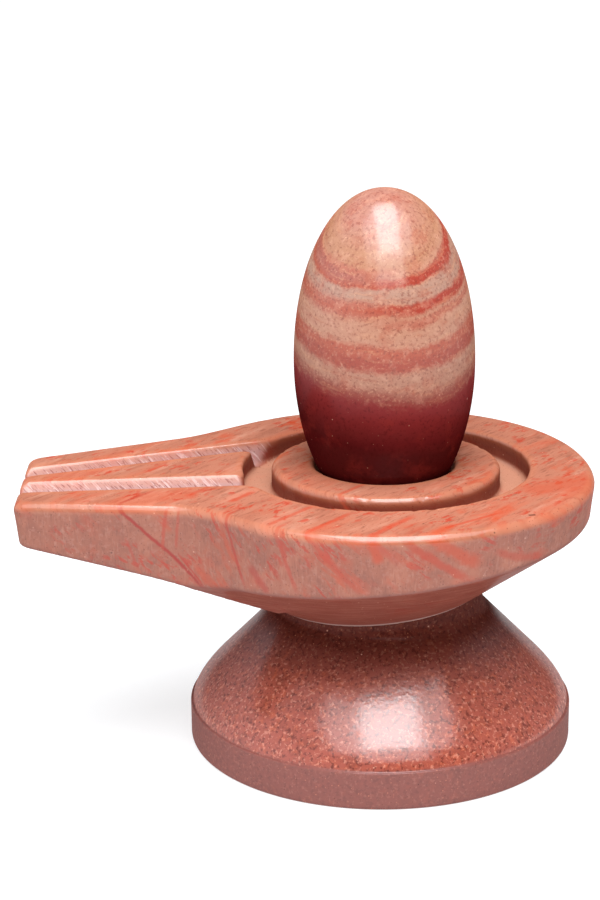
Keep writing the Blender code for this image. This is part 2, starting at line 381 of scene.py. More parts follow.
@dataclass
class TreeBuilder:
    """Holds a Geometry Nodes tree while it is built, with its inputs by name."""

    name: str
    tree: bpy.types.NodeTree = field(init=False)
    start: bpy.types.Node = field(init=False)

    def __post_init__(self) -> None:
        """Makes the empty tree with its geometry in and out."""
        self.tree = bpy.data.node_groups.new(self.name, "GeometryNodeTree")
        for direction in ("OUTPUT", "INPUT"):
            self.tree.interface.new_socket("Geometry", in_out=direction, socket_type="NodeSocketGeometry")
        self.start = self.tree.nodes.new("NodeGroupInput")

    def input(self, name: str, kind: str = "NodeSocketFloat") -> Socket:
        """Adds a named input.

        Args:
            name: The input's name.
            kind: The kind of its socket.

        Returns:
            The socket that gives its value inside the tree.
        """
        self.tree.interface.new_socket(name, in_out="INPUT", socket_type=kind)
        return self.start.outputs[name]

    def finish(self, geometry: Socket, material: Socket) -> None:
        """Ends the tree with real geometry in its material.

        Args:
            geometry: The socket of the finished geometry.
            material: The socket of its material.
        """
        real = add_node(self.tree, "GeometryNodeRealizeInstances", {0: geometry})
        dressed = add_node(self.tree, "GeometryNodeSetMaterial", {"Geometry": real, "Material": material})
        add_node(self.tree, "NodeGroupOutput", {0: dressed})

    def apply(self, obj: bpy.types.Object, values: dict[str, object]) -> None:
        """Runs the tree on an object and keeps the result as its mesh.

        Args:
            obj: The object, whose mesh goes into the tree.
            values: The inputs' values by name.
        """
        modifier = obj.modifiers.new(self.name, "NODES")
        modifier.node_group = self.tree
        for item in self.tree.interface.items_tree:
            if item.item_type == "SOCKET" and item.in_out == "INPUT" and item.name in values:
                modifier[item.identifier] = values[item.name]
        graph = bpy.context.evaluated_depsgraph_get()
        mesh = bpy.data.meshes.new_from_object(
            obj.evaluated_get(graph), preserve_all_data_layers=True, depsgraph=graph
        )
        obj.modifiers.remove(modifier)
        old = obj.data
        obj.data = mesh
        bpy.data.meshes.remove(old)


class Lathe:
    """Turns a profile about an upright axis, as the stone turner does."""

    def __init__(self) -> None:
        """Builds the tree: a sheet of points, wrapped round the axis at the profile's radii and heights."""
        self.builder = TreeBuilder("turned_stone")
        add = partial(add_node, self.builder.tree)
        segments = self.builder.input("Segments", "NodeSocketInt")
        centre = self.builder.input("Centre", "NodeSocketVector")
        merge = self.builder.input("Merge distance")
        material = self.builder.input("Material", "NodeSocketMaterial")
        profile = self.builder.start.outputs["Geometry"]
        rows = add("GeometryNodeAttributeDomainSize", {"Geometry": profile}, "Point Count")
        columns = add("ShaderNodeMath", {0: segments, 1: 1.0}, operation="ADD")
        size = {"Size X": 1.0, "Size Y": 1.0, "Vertices X": rows, "Vertices Y": columns}
        sheet = add("GeometryNodeMeshGrid", size)
        place = add("GeometryNodeInputPosition")
        along = add("ShaderNodeSeparateXYZ", {0: place}).node.outputs
        share = add("ShaderNodeMath", {0: along["X"], 1: 0.5}, operation="ADD")
        last = add("ShaderNodeMath", {0: rows, 1: 1.0}, operation="SUBTRACT")
        step = add("ShaderNodeMath", {0: share, 1: last}, operation="MULTIPLY")
        row = add("ShaderNodeMath", {0: step}, operation="ROUND")
        angle = add("ShaderNodeMath", {0: along["Y"], 1: math.tau}, operation="MULTIPLY")
        wanted = {"Geometry": profile, "Value": place, "Index": row}
        point = add("GeometryNodeSampleIndex", wanted, data_type="FLOAT_VECTOR")
        turned = add("ShaderNodeVectorRotate", {"Vector": point, "Angle": angle}, rotation_type="Z_AXIS")
        moved = add("ShaderNodeVectorMath", {0: turned, 1: centre}, operation="ADD")
        wrapped = add("GeometryNodeSetPosition", {"Geometry": sheet, "Position": moved})
        closed = add("GeometryNodeMergeByDistance", {"Geometry": wrapped, "Distance": merge})
        self.builder.finish(closed, material)

    def turn(
        self,
        name: str,
        profile: list[Pair],
        centre: Pair,
        segments: int,
        material: bpy.types.Material,
    ) -> bpy.types.Object:
        """Turns one piece.

        Args:
            name: The piece's name.
            profile: Its (radius, height) points, from the axis at the bottom to the axis at the top.
            centre: Where the axis stands, in millimetres.
            segments: How many steps there are round the axis.
            material: The piece's finish.

        Returns:
            The piece, closed and facing outwards.
        """
        points = np.array([(radius, 0.0, height) for radius, height in profile]) * MM
        links = [(index, index + 1) for index in range(len(points) - 1)]
        obj = mesh_object(name, points, edges=links)
        place = Vector((centre[0] * MM, centre[1] * MM, 0.0))
        values = {"Segments": segments, "Centre": place, "Merge distance": SAME_POINT, "Material": material}
        self.builder.apply(obj, values)
        face_outwards(obj.data)
        return obj


def face_outwards(mesh: bpy.types.Mesh) -> None:
    """Merges doubled points and turns a closed mesh's faces outwards.

    Args:
        mesh: The mesh that is changed.
    """
    shape = bmesh.new()
    shape.from_mesh(mesh)
    bmesh.ops.remove_doubles(shape, verts=shape.verts, dist=SAME_POINT)
    bmesh.ops.dissolve_degenerate(shape, edges=shape.edges, dist=NO_EDGE)
    bmesh.ops.recalc_face_normals(shape, faces=shape.faces)
    shape.to_mesh(mesh)
    shape.free()


@dataclass(frozen=True)
class Wear:
    """How worn a stone is, with its sizes and depths in millimetres.

    The fields' order is that of the weathering tree's inputs, and their names are the inputs' in lower case.
    """

    unevenness: float = 0.0
    wave_size: float = 20.0
    pit_depth: float = 0.0
    pit_spacing: float = 4.0
    pit_share: float = 0.0
    chip_depth: float = 0.0
    chip_size: float = 2.0
    seed: float = 0.0


class Weather:
    """Gives a stone's surface the small hollows, pits and chips that handwork and the river leave.

    A pit's radius is at most PIT_MOUTH of the spacing, and a chip starts and is full where its pattern has
    the values of CHIPPED.
    """

    PIT_MOUTH = 0.3
    CHIPPED = (0.52, 0.7)
    PLAIN_NUMBERS = ("seed", "pit_share")

    def __init__(self) -> None:
        """Builds the tree: each point moves a little along its normal, by rules that follow the surface."""
        self.builder = TreeBuilder("weathered_stone")
        add = partial(add_node, self.builder.tree)
        sizes = [self.builder.input(self.input_name(size.name)) for size in fields(Wear)]
        unevenness, wave, pit_depth, spacing, pit_share, chip_depth, chip_size, seed = sizes
        material = self.builder.input("Material", "NodeSocketMaterial")
        place = add("GeometryNodeInputPosition")
        normal = add("GeometryNodeInputNormal")
        swell = self.noise(place, wave, seed, 1.0)
        hollow = add("ShaderNodeMath", {0: swell, 1: 0.5}, operation="SUBTRACT")
        hollow = add("ShaderNodeMath", {0: hollow, 1: unevenness}, operation="MULTIPLY")
        scale = add("ShaderNodeMath", {0: 1.0, 1: spacing}, operation="DIVIDE")
        cells = {"Vector": place, "W": seed, "Scale": scale}
        cell = add("ShaderNodeTexVoronoi", cells, voronoi_dimensions="4D").node.outputs
        dice = add("ShaderNodeSeparateXYZ", {0: cell["Color"]}).node.outputs
        radius = add("ShaderNodeMath", {0: dice["Y"], 1: self.PIT_MOUTH}, operation="MULTIPLY")
        edges = {"Value": cell["Distance"], "From Max": radius, "To Min": 1.0, "To Max": 0.0}
        mouth = add("ShaderNodeMapRange", edges, interpolation_type="SMOOTHSTEP")
        chosen = add("ShaderNodeMath", {0: dice["X"], 1: pit_share}, operation="LESS_THAN")
        pit = add("ShaderNodeMath", {0: mouth, 1: chosen}, operation="MULTIPLY")
        pit = add("ShaderNodeMath", {0: pit, 1: pit_depth}, operation="MULTIPLY")
        edge = add("GeometryNodeInputNamedAttribute", {"Name": Mark.RAGGED.value}, data_type="FLOAT")
        ragged = {"Value": self.noise(place, chip_size, seed, 2.0)}
        ragged.update({"From Min": self.CHIPPED[0], "From Max": self.CHIPPED[1]})
        flake = add("ShaderNodeMapRange", ragged, interpolation_type="SMOOTHSTEP")
        chip = add("ShaderNodeMath", {0: flake, 1: edge}, operation="MULTIPLY")
        worn = add("ShaderNodeMath", {0: chip, 1: chip_depth, 2: pit}, operation="MULTIPLY_ADD")
        inward = add("ShaderNodeMath", {0: hollow, 1: worn}, operation="SUBTRACT")
        offset = add("ShaderNodeVectorMath", {0: normal, "Scale": inward}, operation="SCALE")
        stone = self.builder.start.outputs["Geometry"]
        moved = add("GeometryNodeSetPosition", {"Geometry": stone, "Offset": offset})
        self.builder.finish(moved, material)

    @staticmethod
    def input_name(size: str) -> str:
        """Gives the name of the tree's input for a size of a stone's wear."""
        return size.replace("_", " ").capitalize()

    def noise(self, place: Socket, size: Socket, seed: Socket, layers: float) -> Socket:
        """Adds a seeded pattern of a real size.

        Args:
            place: The socket of the position.
            size: The socket of the pattern's size, in metres.
            seed: The socket of its seed.
            layers: How many finer layers it has.

        Returns:
            The socket of the pattern's value.
        """
        scale = add_node(self.builder.tree, "ShaderNodeMath", {0: 1.0, 1: size}, operation="DIVIDE")
        inputs = {"Vector": place, "W": seed, "Scale": scale, "Detail": layers}
        return add_node(self.builder.tree, "ShaderNodeTexNoise", inputs, noise_dimensions="4D")

    def wear(self, obj: bpy.types.Object, material: bpy.types.Material, wear: Wear) -> None:
        """Weathers one piece.

        Args:
            obj: The piece, whose mesh is changed.
            material: Its finish.
            wear: How worn it is.
        """
        values: dict[str, object] = {"Material": material}
        for name, size in vars(wear).items():
            values[self.input_name(name)] = size if name in self.PLAIN_NUMBERS else size * MM
        self.builder.apply(obj, values)


@dataclass(frozen=True)
class Stain:
    """Patches of one colour, where a pattern of a real size in millimetres is high.

    The pattern starts to show at one value and is full at another. Without a colour it only limits others.
    """

    colour: str | None
    size: float
    starts: float
    full: float
    strength: float = 1.0
    layers: float = 2.0


@dataclass(frozen=True)
class Specks:
    """Scattered grains or small pits of one colour, with their spacing and radius in millimetres.

    Only a share of the places that the spacing gives has one, and each has its own size about the radius.
    """

    colour: str
    spacing: float
    radius: float
    share: float
    strength: float = 1.0
    sizes: Pair = (0.5, 1.3)


@dataclass(frozen=True)
class Vein:
    """A thin sheet of coloured mineral: a place that it runs through, the way it faces, and how far it goes.

    It wanders over one length and ripples over a finer one, fades between two shares of its half width, and
    ends between a share of its reach and the whole.
    """

    colour: str
    through: Triple
    facing: Triple
    half_width: float
    reach: float
    strength: float = 0.9
    wander: float = 0.5
    wander_size: float = 9.0
    ripple_size: float = 1.6
    edges: Pair = (1.5, 0.3)
    full_reach: float = 0.6


@dataclass(frozen=True)
class Tint:
    """One colour on all that bears a mark, at a part of its full strength."""

    mark: Mark
    colour: str
    share: float


@dataclass
class StonePaint:
    """Builds up a stone's colour in its material's tree, layer on layer, on a position in millimetres."""

    tree: bpy.types.NodeTree
    place: Socket
    colour: Socket | Colour

    def add(
        self, kind: str, inputs: dict | None = None, output: int | str = 0, **settings: object
    ) -> Socket | None:
        """Adds a node to the material's tree, as add_node does."""
        return add_node(self.tree, kind, inputs, output, **settings)

    def cover(self, colour: str, share: Socket) -> None:
        """Lays a colour over what is there.

        Args:
            colour: The colour, as hex.
            share: The socket of how much of it shows.
        """
        inputs = {0: share, 6: self.colour, 7: linear(colour)}
        self.colour = self.add("ShaderNodeMix", inputs, 2, data_type="RGBA")

    def stretched(self, facing: Triple, length: float) -> Socket:
        """Gives a position on which patterns run in thin sheets.

        Args:
            facing: The way that the sheets face.
            length: How many times longer a pattern is along its sheet than across it.

        Returns:
            The new position's socket, with its Z across the sheets.
        """
        turn = Vector((0.0, 0.0, 1.0)).rotation_difference(Vector(facing)).to_euler()
        inputs = {"Vector": self.place, "Rotation": tuple(turn), "Scale": (length, length, 1.0)}
        return self.add("ShaderNodeMapping", inputs, vector_type="TEXTURE")

    def wandering(self, size: float, reach: float) -> Socket:
        """Gives a length that drifts about zero over the stone.

        Args:
            size: Over what distance it changes, in millimetres.
            reach: How far it swings between its usual extremes, in millimetres.

        Returns:
            The socket of the length.
        """
        drift = self.add("ShaderNodeTexNoise", {"Vector": self.place, "Scale": 1 / size, "Detail": 1.0})
        return self.add("ShaderNodeMath", {0: drift, 1: reach, 2: -reach / 2}, operation="MULTIPLY_ADD")

    def patches(self, stain: Stain, place: Socket | None = None, within: Socket | float = 1.0) -> Socket:
        """Gives how strongly a stain shows.

        Args:
            stain: The stain.
            place: The position that its pattern follows, if not the plain one.
            within: The share that it is held to.

        Returns:
            The socket of its share.
        """
        grain = {"Vector": place or self.place, "Scale": 1 / stain.size, "Detail": stain.layers}
        pattern = self.add("ShaderNodeTexNoise", {**grain, "Roughness": FINE_LAYERS})
        edges = {"Value": pattern, "From Min": stain.starts, "From Max": stain.full}
        edges["To Max"] = stain.strength
        share = self.add("ShaderNodeMapRange", edges, interpolation_type="SMOOTHSTEP")
        return self.add("ShaderNodeMath", {0: share, 1: within}, operation="MULTIPLY")

    def stain(self, stain: Stain, **where: Socket) -> None:
        """Lays a stain over what is there, as patches places it."""
        self.cover(stain.colour, self.patches(stain, **where))

    def speckle(self, specks: Specks, within: Socket | float = 1.0) -> None:
        """Scatters specks over what is there.

        Args:
            specks: The specks.
            within: The share that they are held to.
        """
        grain = {"Vector": self.place, "Scale": 1 / specks.spacing}
        cell = self.add("ShaderNodeTexVoronoi", grain).node.outputs
        dice = self.add("ShaderNodeSeparateXYZ", {0: cell["Color"]}).node.outputs
        smallest, largest = (size * specks.radius for size in specks.sizes)
        radius = self.add("ShaderNodeMapRange", {"Value": dice["Y"], "To Min": smallest, "To Max": largest})
        radius = self.add("ShaderNodeMath", {0: radius, 1: specks.spacing}, operation="DIVIDE")
        edges = {"Value": cell["Distance"], "From Min": radius, "From Max": 0.0, "To Max": specks.strength}
        spot = self.add("ShaderNodeMapRange", edges, interpolation_type="SMOOTHSTEP")
        chosen = self.add("ShaderNodeMath", {0: dice["X"], 1: specks.share}, operation="LESS_THAN")
        share = self.add("ShaderNodeMath", {0: spot, 1: chosen}, operation="MULTIPLY")
        share = self.add("ShaderNodeMath", {0: share, 1: within}, operation="MULTIPLY")
        self.cover(specks.colour, share)

    def vein(self, vein: Vein) -> None:
        """Lets a vein run through the stone.

        Args:
            vein: The vein.
        """
        facing = Vector(vein.facing).normalized()
        away = self.add("ShaderNodeVectorMath", {0: self.place, 1: vein.through}, operation="SUBTRACT")
        across = self.add("ShaderNodeVectorMath", {0: away, 1: facing}, "Value", operation="DOT_PRODUCT")
        for size, swing in ((vein.wander_size, vein.wander), (vein.ripple_size, vein.half_width)):
            across = self.add("ShaderNodeMath", {0: across, 1: self.wandering(size, swing)}, operation="ADD")
        middle = self.add("ShaderNodeMath", {0: across}, operation="ABSOLUTE")
        outer, inner = (share * vein.half_width for share in vein.edges)
        width = {"Value": middle, "From Min": outer, "From Max": inner}
        sheet = self.add("ShaderNodeMapRange", width, interpolation_type="SMOOTHSTEP")
        distance = self.add("ShaderNodeVectorMath", {0: away}, "Value", operation="LENGTH")
        extent = {"Value": distance, "From Min": vein.reach, "From Max": vein.full_reach * vein.reach}
        extent["To Max"] = vein.strength
        ends = self.add("ShaderNodeMapRange", extent, interpolation_type="SMOOTHSTEP")
        self.cover(vein.colour, self.add("ShaderNodeMath", {0: sheet, 1: ends}, operation="MULTIPLY"))


@dataclass(frozen=True)
class PolishedStone:
    """What the finishes of all three stones share: an opaque stone with a dense, waxed polish.

    The polish gives one clear highlight. Its high IOR at part weight keeps the rims from turning milky, and
    it thins out between the two rim values, the slants at which the eye meets the stone. The relief's size
    and depth and the centre are in millimetres.
    """

    name: str
    wax_roughness: float
    relief_size: float
    relief_depth: float
    wax: float = 0.36
    wax_ior: float = 2.2
    roughness: float = 0.6
    specular: float = 0.0
    rim: Pair = (0.3, 0.85)
    rim_share: float = 0.45
    centre: Triple = (0.0, 0.0, 0.0)
    turn: float = 0.0

    def begin(self, colour: str) -> tuple[bpy.types.Material, StonePaint]:
        """Starts the material.

        Args:
            colour: The colour under all the others.

        Returns:
            The material, and the paint that builds up its colour in millimetres from the finish's centre.
        """
        material = bpy.data.materials.new(self.name)
        material.use_nodes = True
        tree = material.node_tree
        shader = tree.nodes["Principled BSDF"]
        values = {
            "Roughness": self.roughness,
            "Specular IOR Level": self.specular,
            "Coat Weight": self.wax,
            "Coat Roughness": self.wax_roughness,
            "Coat IOR": self.wax_ior,
        }
        for name, value in values.items():
            shader.inputs[name].default_value = value
        place = add_node(tree, "ShaderNodeTexCoord", output="Object")
        inputs = {
            "Vector": place,
            "Location": tuple(value * MM for value in self.centre),
            "Rotation": (0.0, 0.0, self.turn),
            "Scale": (MM, MM, MM),
        }
        place = add_node(tree, "ShaderNodeMapping", inputs, vector_type="TEXTURE")
        return material, StonePaint(tree, place, linear(colour))

    def end(self, paint: StonePaint, polish: Socket) -> None:
        """Gives the shader the finished colour, the polish and its fine relief.

        Args:
            paint: The paint that holds the colour.
            polish: The socket of how much of the polish each place has.
        """
        shader = paint.tree.nodes["Principled BSDF"]
        paint.tree.links.new(paint.colour, shader.inputs["Base Color"])
        slant = paint.add("ShaderNodeLayerWeight", {"Blend": 0.5}, "Facing")
        edges = {"Value": slant, "From Min": self.rim[0], "From Max": self.rim[1]}
        edges.update({"To Min": self.wax, "To Max": self.wax * self.rim_share})
        gloss = paint.add("ShaderNodeMapRange", edges, interpolation_type="SMOOTHSTEP")
        gloss = paint.add("ShaderNodeMath", {0: gloss, 1: polish}, operation="MULTIPLY")
        paint.tree.links.new(gloss, shader.inputs["Coat Weight"])
        pattern = {"Vector": paint.place, "Scale": 1 / self.relief_size, "Roughness": FINE_LAYERS}
        height = paint.add("ShaderNodeTexNoise", pattern)
        bump = {"Height": height, "Distance": self.relief_depth * MM, "Strength": 1.0}
        bump = paint.add("ShaderNodeBump", bump)
        for name in ("Normal", "Coat Normal"):
            paint.tree.links.new(bump, shader.inputs[name])


class Jasper(Enum):
    """The colours of the river jasper's beds."""

    CAP = "#99695b"
    PEACH = "#9b6b51"
    PALE = "#997463"
    TAN = "#a2725c"
    ROSE = "#9a5947"
    BRICK = "#984a36"
    RED = "#903629"
    RUST = "#8c3b2c"
    PLUM = "#8f5043"
    BEIGE = "#996b57"
    MAUVE = "#824236"
    MAROON = "#752222"
    DEEP = "#480f10"


@dataclass(frozen=True)
class BandedJasper(PolishedStone):
    """River jasper: fine quartz in beds of tan, rust and maroon, tumbled smooth and rubbed to a soft gloss.

    The eye sees beds that cut the egg at a slant and pinch out from side to side, with feathered edges, a
    dust of dark and pale grains, and a maroon end with less gloss. Heights and sizes are in millimetres. The
    lean is how far the beds drop for each millimetre towards the front, and the side lean how far they climb
    towards the right, each at the lower and at the upper of its two heights, as the camera saw them. A swing
    is over what distance the beds bend and how far. The lamina scale draws a pattern out along the beds.
    """

    name: str = "river_tumbled_banded_jasper"
    wax_roughness: float = 0.2
    relief_size: float = 1.2
    relief_depth: float = 0.012
    wax: float = 0.35
    rim_share: float = 0.12
    centre: Triple = (*EGG_AXIS, 0.0)
    turn: float = -PICTURE_TURN
    lean: Pair = (0.28, 0.58)
    lean_heights: Pair = (120.0, 136.0)
    side_lean: Pair = (-0.10, 0.11)
    side_lean_heights: Pair = (98.0, 130.0)
    swings: tuple[Pair, ...] = ((24.0, 2.2), (6.0, 1.6), (1.7, 1.5), (0.5, 0.9))
    change_of_side: Pair = (-9.0, 8.0)
    side_wander: Pair = (5.0, 14.0)
    left_beds: tuple[tuple[float, Jasper], ...] = (
        (86.0, Jasper.DEEP),
        (91.0, Jasper.DEEP),
        (105.4, Jasper.MAROON),
        (108.0, Jasper.MAUVE),
        (110.8, Jasper.BEIGE),
        (113.2, Jasper.BEIGE),
        (114.8, Jasper.RUST),
        (117.0, Jasper.RUST),
        (118.6, Jasper.BRICK),
        (120.2, Jasper.BRICK),
        (121.6, Jasper.TAN),
        (123.5, Jasper.TAN),
        (126.8, Jasper.TAN),
        (128.4, Jasper.ROSE),
        (130.2, Jasper.BRICK),
        (132.6, Jasper.ROSE),
        (134.6, Jasper.PALE),
        (137.4, Jasper.PALE),
        (138.7, Jasper.BRICK),
        (140.4, Jasper.PLUM),
        (142.2, Jasper.PLUM),
        (143.6, Jasper.ROSE),
        (145.0, Jasper.PEACH),
        (147.5, Jasper.PEACH),
        (151.5, Jasper.CAP),
    )
    right_beds: tuple[tuple[float, Jasper], ...] = (
        (86.0, Jasper.DEEP),
        (91.0, Jasper.DEEP),
        (105.0, Jasper.MAROON),
        (107.4, Jasper.MAUVE),
        (110.2, Jasper.BEIGE),
        (113.6, Jasper.BEIGE),
        (114.9, Jasper.RUST),
        (117.2, Jasper.RUST),
        (118.4, Jasper.BRICK),
        (119.6, Jasper.BRICK),
        (120.8, Jasper.TAN),
        (124.8, Jasper.TAN),
        (125.6, Jasper.ROSE),
        (126.8, Jasper.ROSE),
        (127.7, Jasper.TAN),
        (129.0, Jasper.RED),
        (131.2, Jasper.RED),
        (132.6, Jasper.PALE),
        (137.2, Jasper.PALE),
        (138.4, Jasper.RED),
        (140.4, Jasper.RED),
        (141.6, Jasper.TAN),
        (144.0, Jasper.PEACH),
        (151.5, Jasper.CAP),
    )
    pale_beds_start: Pair = (103.0, 109.0)
    lamina_scale: Triple = (0.12, 0.12, 1.0)
    laminae: tuple[Stain, ...] = (
        Stain("#8a3f2f", 1.0, 0.5, 0.72, 0.32),
        Stain("#c08a66", 1.4, 0.54, 0.74, 0.3),
    )
    clouds: tuple[Stain, ...] = (
        Stain("#94432f", 5.0, 0.5, 0.7, 0.4, 4.0),
        Stain("#c29078", 2.6, 0.5, 0.68, 0.25, 4.0),
        Stain("#6b2d25", 0.8, 0.5, 0.7, 0.5),
        Stain("#cc9c7c", 0.7, 0.54, 0.74, 0.25),
    )
    dark_clouds: tuple[Stain, ...] = (
        Stain("#7c241e", 7.0, 0.5, 0.72, 0.35, 4.0),
        Stain("#330504", 0.9, 0.5, 0.74, 0.4),
    )
    grains: tuple[Specks, ...] = (
        Specks("#3a120e", 0.55, 0.17, 0.4, 0.65),
        Specks("#2a0d0a", 2.4, 0.28, 0.22, 0.85),
        Specks("#dfae8e", 1.3, 0.21, 0.26, 0.6),
        Specks("#e8b3a4", 7.0, 0.5, 0.2, 0.85),
    )
    dusty: Stain = Stain(None, 3.5, 0.4, 0.62, 1.0, 3.0)
    dull_end: Pair = (95.0, 114.0)
    dull_polish: float = 0.15

    def bedding(self, paint: StonePaint) -> Socket:
        """Gives the height in the beds, which lean towards the front and are warped a little.

        Args:
            paint: The paint, whose position starts on the egg's axis.

        Returns:
            The height's socket, in millimetres.
        """
        along = paint.add("ShaderNodeSeparateXYZ", {0: paint.place}).node.outputs
        low, high = self.lean_heights
        heights = {"Value": along["Z"], "From Min": low, "From Max": high}
        heights.update({"To Min": -self.lean[0], "To Max": -self.lean[1]})
        lean = paint.add("ShaderNodeMapRange", heights, interpolation_type="SMOOTHSTEP")
        low, high = self.side_lean_heights
        heights = {"Value": along["Z"], "From Min": low, "From Max": high}
        heights.update({"To Min": -self.side_lean[0], "To Max": -self.side_lean[1]})
        side = paint.add("ShaderNodeMapRange", heights, clamp=False)
        level = along["Z"]
        for slant, way in ((lean, along["Y"]), (side, along["X"])):
            level = paint.add("ShaderNodeMath", {0: slant, 1: way, 2: level}, operation="MULTIPLY_ADD")
        for size, reach in self.swings:
            level = paint.add("ShaderNodeMath", {0: level, 1: paint.wandering(size, reach)}, operation="ADD")
        return level

    def beds(self, paint: StonePaint, level: Socket, beds: tuple[tuple[float, Jasper], ...]) -> Socket:
        """Colours a pile of beds.

        Args:
            paint: The paint.
            level: The socket of the height in the beds.
            beds: The height where each colour is full.

        Returns:
            The colour's socket.
        """
        low, high = beds[0][0], beds[-1][0]
        share = paint.add("ShaderNodeMapRange", {"Value": level, "From Min": low, "From Max": high})
        ramp = paint.add("ShaderNodeValToRGB", {0: share})
        stops = ramp.node.color_ramp.elements
        stops.remove(stops[1])
        for index, (height, colour) in enumerate(beds):
            position = (height - low) / (high - low)
            stop = stops[0] if index == 0 else stops.new(position)
            stop.position = position
            stop.color = linear(colour.value)
        return ramp

    def material(self) -> bpy.types.Material:
        """Builds the finish.

        Returns:
            The material.
        """
        material, paint = self.begin(Jasper.TAN.value)
        level = self.bedding(paint)
        along = paint.add("ShaderNodeSeparateXYZ", {0: paint.place}).node.outputs
        wander = paint.wandering(*self.side_wander)
        across = paint.add("ShaderNodeMath", {0: along["X"], 1: wander}, operation="ADD")
        edges = {"Value": across, "From Min": self.change_of_side[0], "From Max": self.change_of_side[1]}
        right = paint.add("ShaderNodeMapRange", edges, interpolation_type="SMOOTHSTEP")
        piles = [self.beds(paint, level, beds) for beds in (self.left_beds, self.right_beds)]
        paint.colour = paint.add("ShaderNodeMix", {0: right, 6: piles[0], 7: piles[1]}, 2, data_type="RGBA")
        flat = paint.add("ShaderNodeCombineXYZ", {"X": along["X"], "Y": along["Y"], "Z": level})
        flat = paint.add("ShaderNodeMapping", {"Vector": flat, "Scale": self.lamina_scale})
        edges = {"Value": level, "From Min": self.pale_beds_start[0], "From Max": self.pale_beds_start[1]}
        pale = paint.add("ShaderNodeMapRange", edges, interpolation_type="SMOOTHSTEP")
        dark = paint.add("ShaderNodeMath", {0: 1.0, 1: pale}, operation="SUBTRACT")
        for stain in self.laminae:
            paint.stain(stain, place=flat, within=pale)
        for stain in self.clouds:
            paint.stain(stain, within=pale)
        for stain in self.dark_clouds:
            paint.stain(stain, within=dark)
        dusty = paint.patches(self.dusty)
        for specks in self.grains:
            paint.speckle(specks, within=dusty)
        edges = {"Value": along["Z"], "From Min": self.dull_end[0], "From Max": self.dull_end[1]}
        edges["To Min"] = self.dull_polish
        polish = paint.add("ShaderNodeMapRange", edges, interpolation_type="SMOOTHSTEP")
        self.end(paint, polish)
        return material


# The ways that the mineral's thin sheets and the saw's scratches face, in the dish's own frame.
SHEETS = (0.523, -0.541, 0.658)
STEEP_SHEETS = (0.67, -0.67, 0.32)
SAW_STROKES = (0.75, 0.2, 0.63)


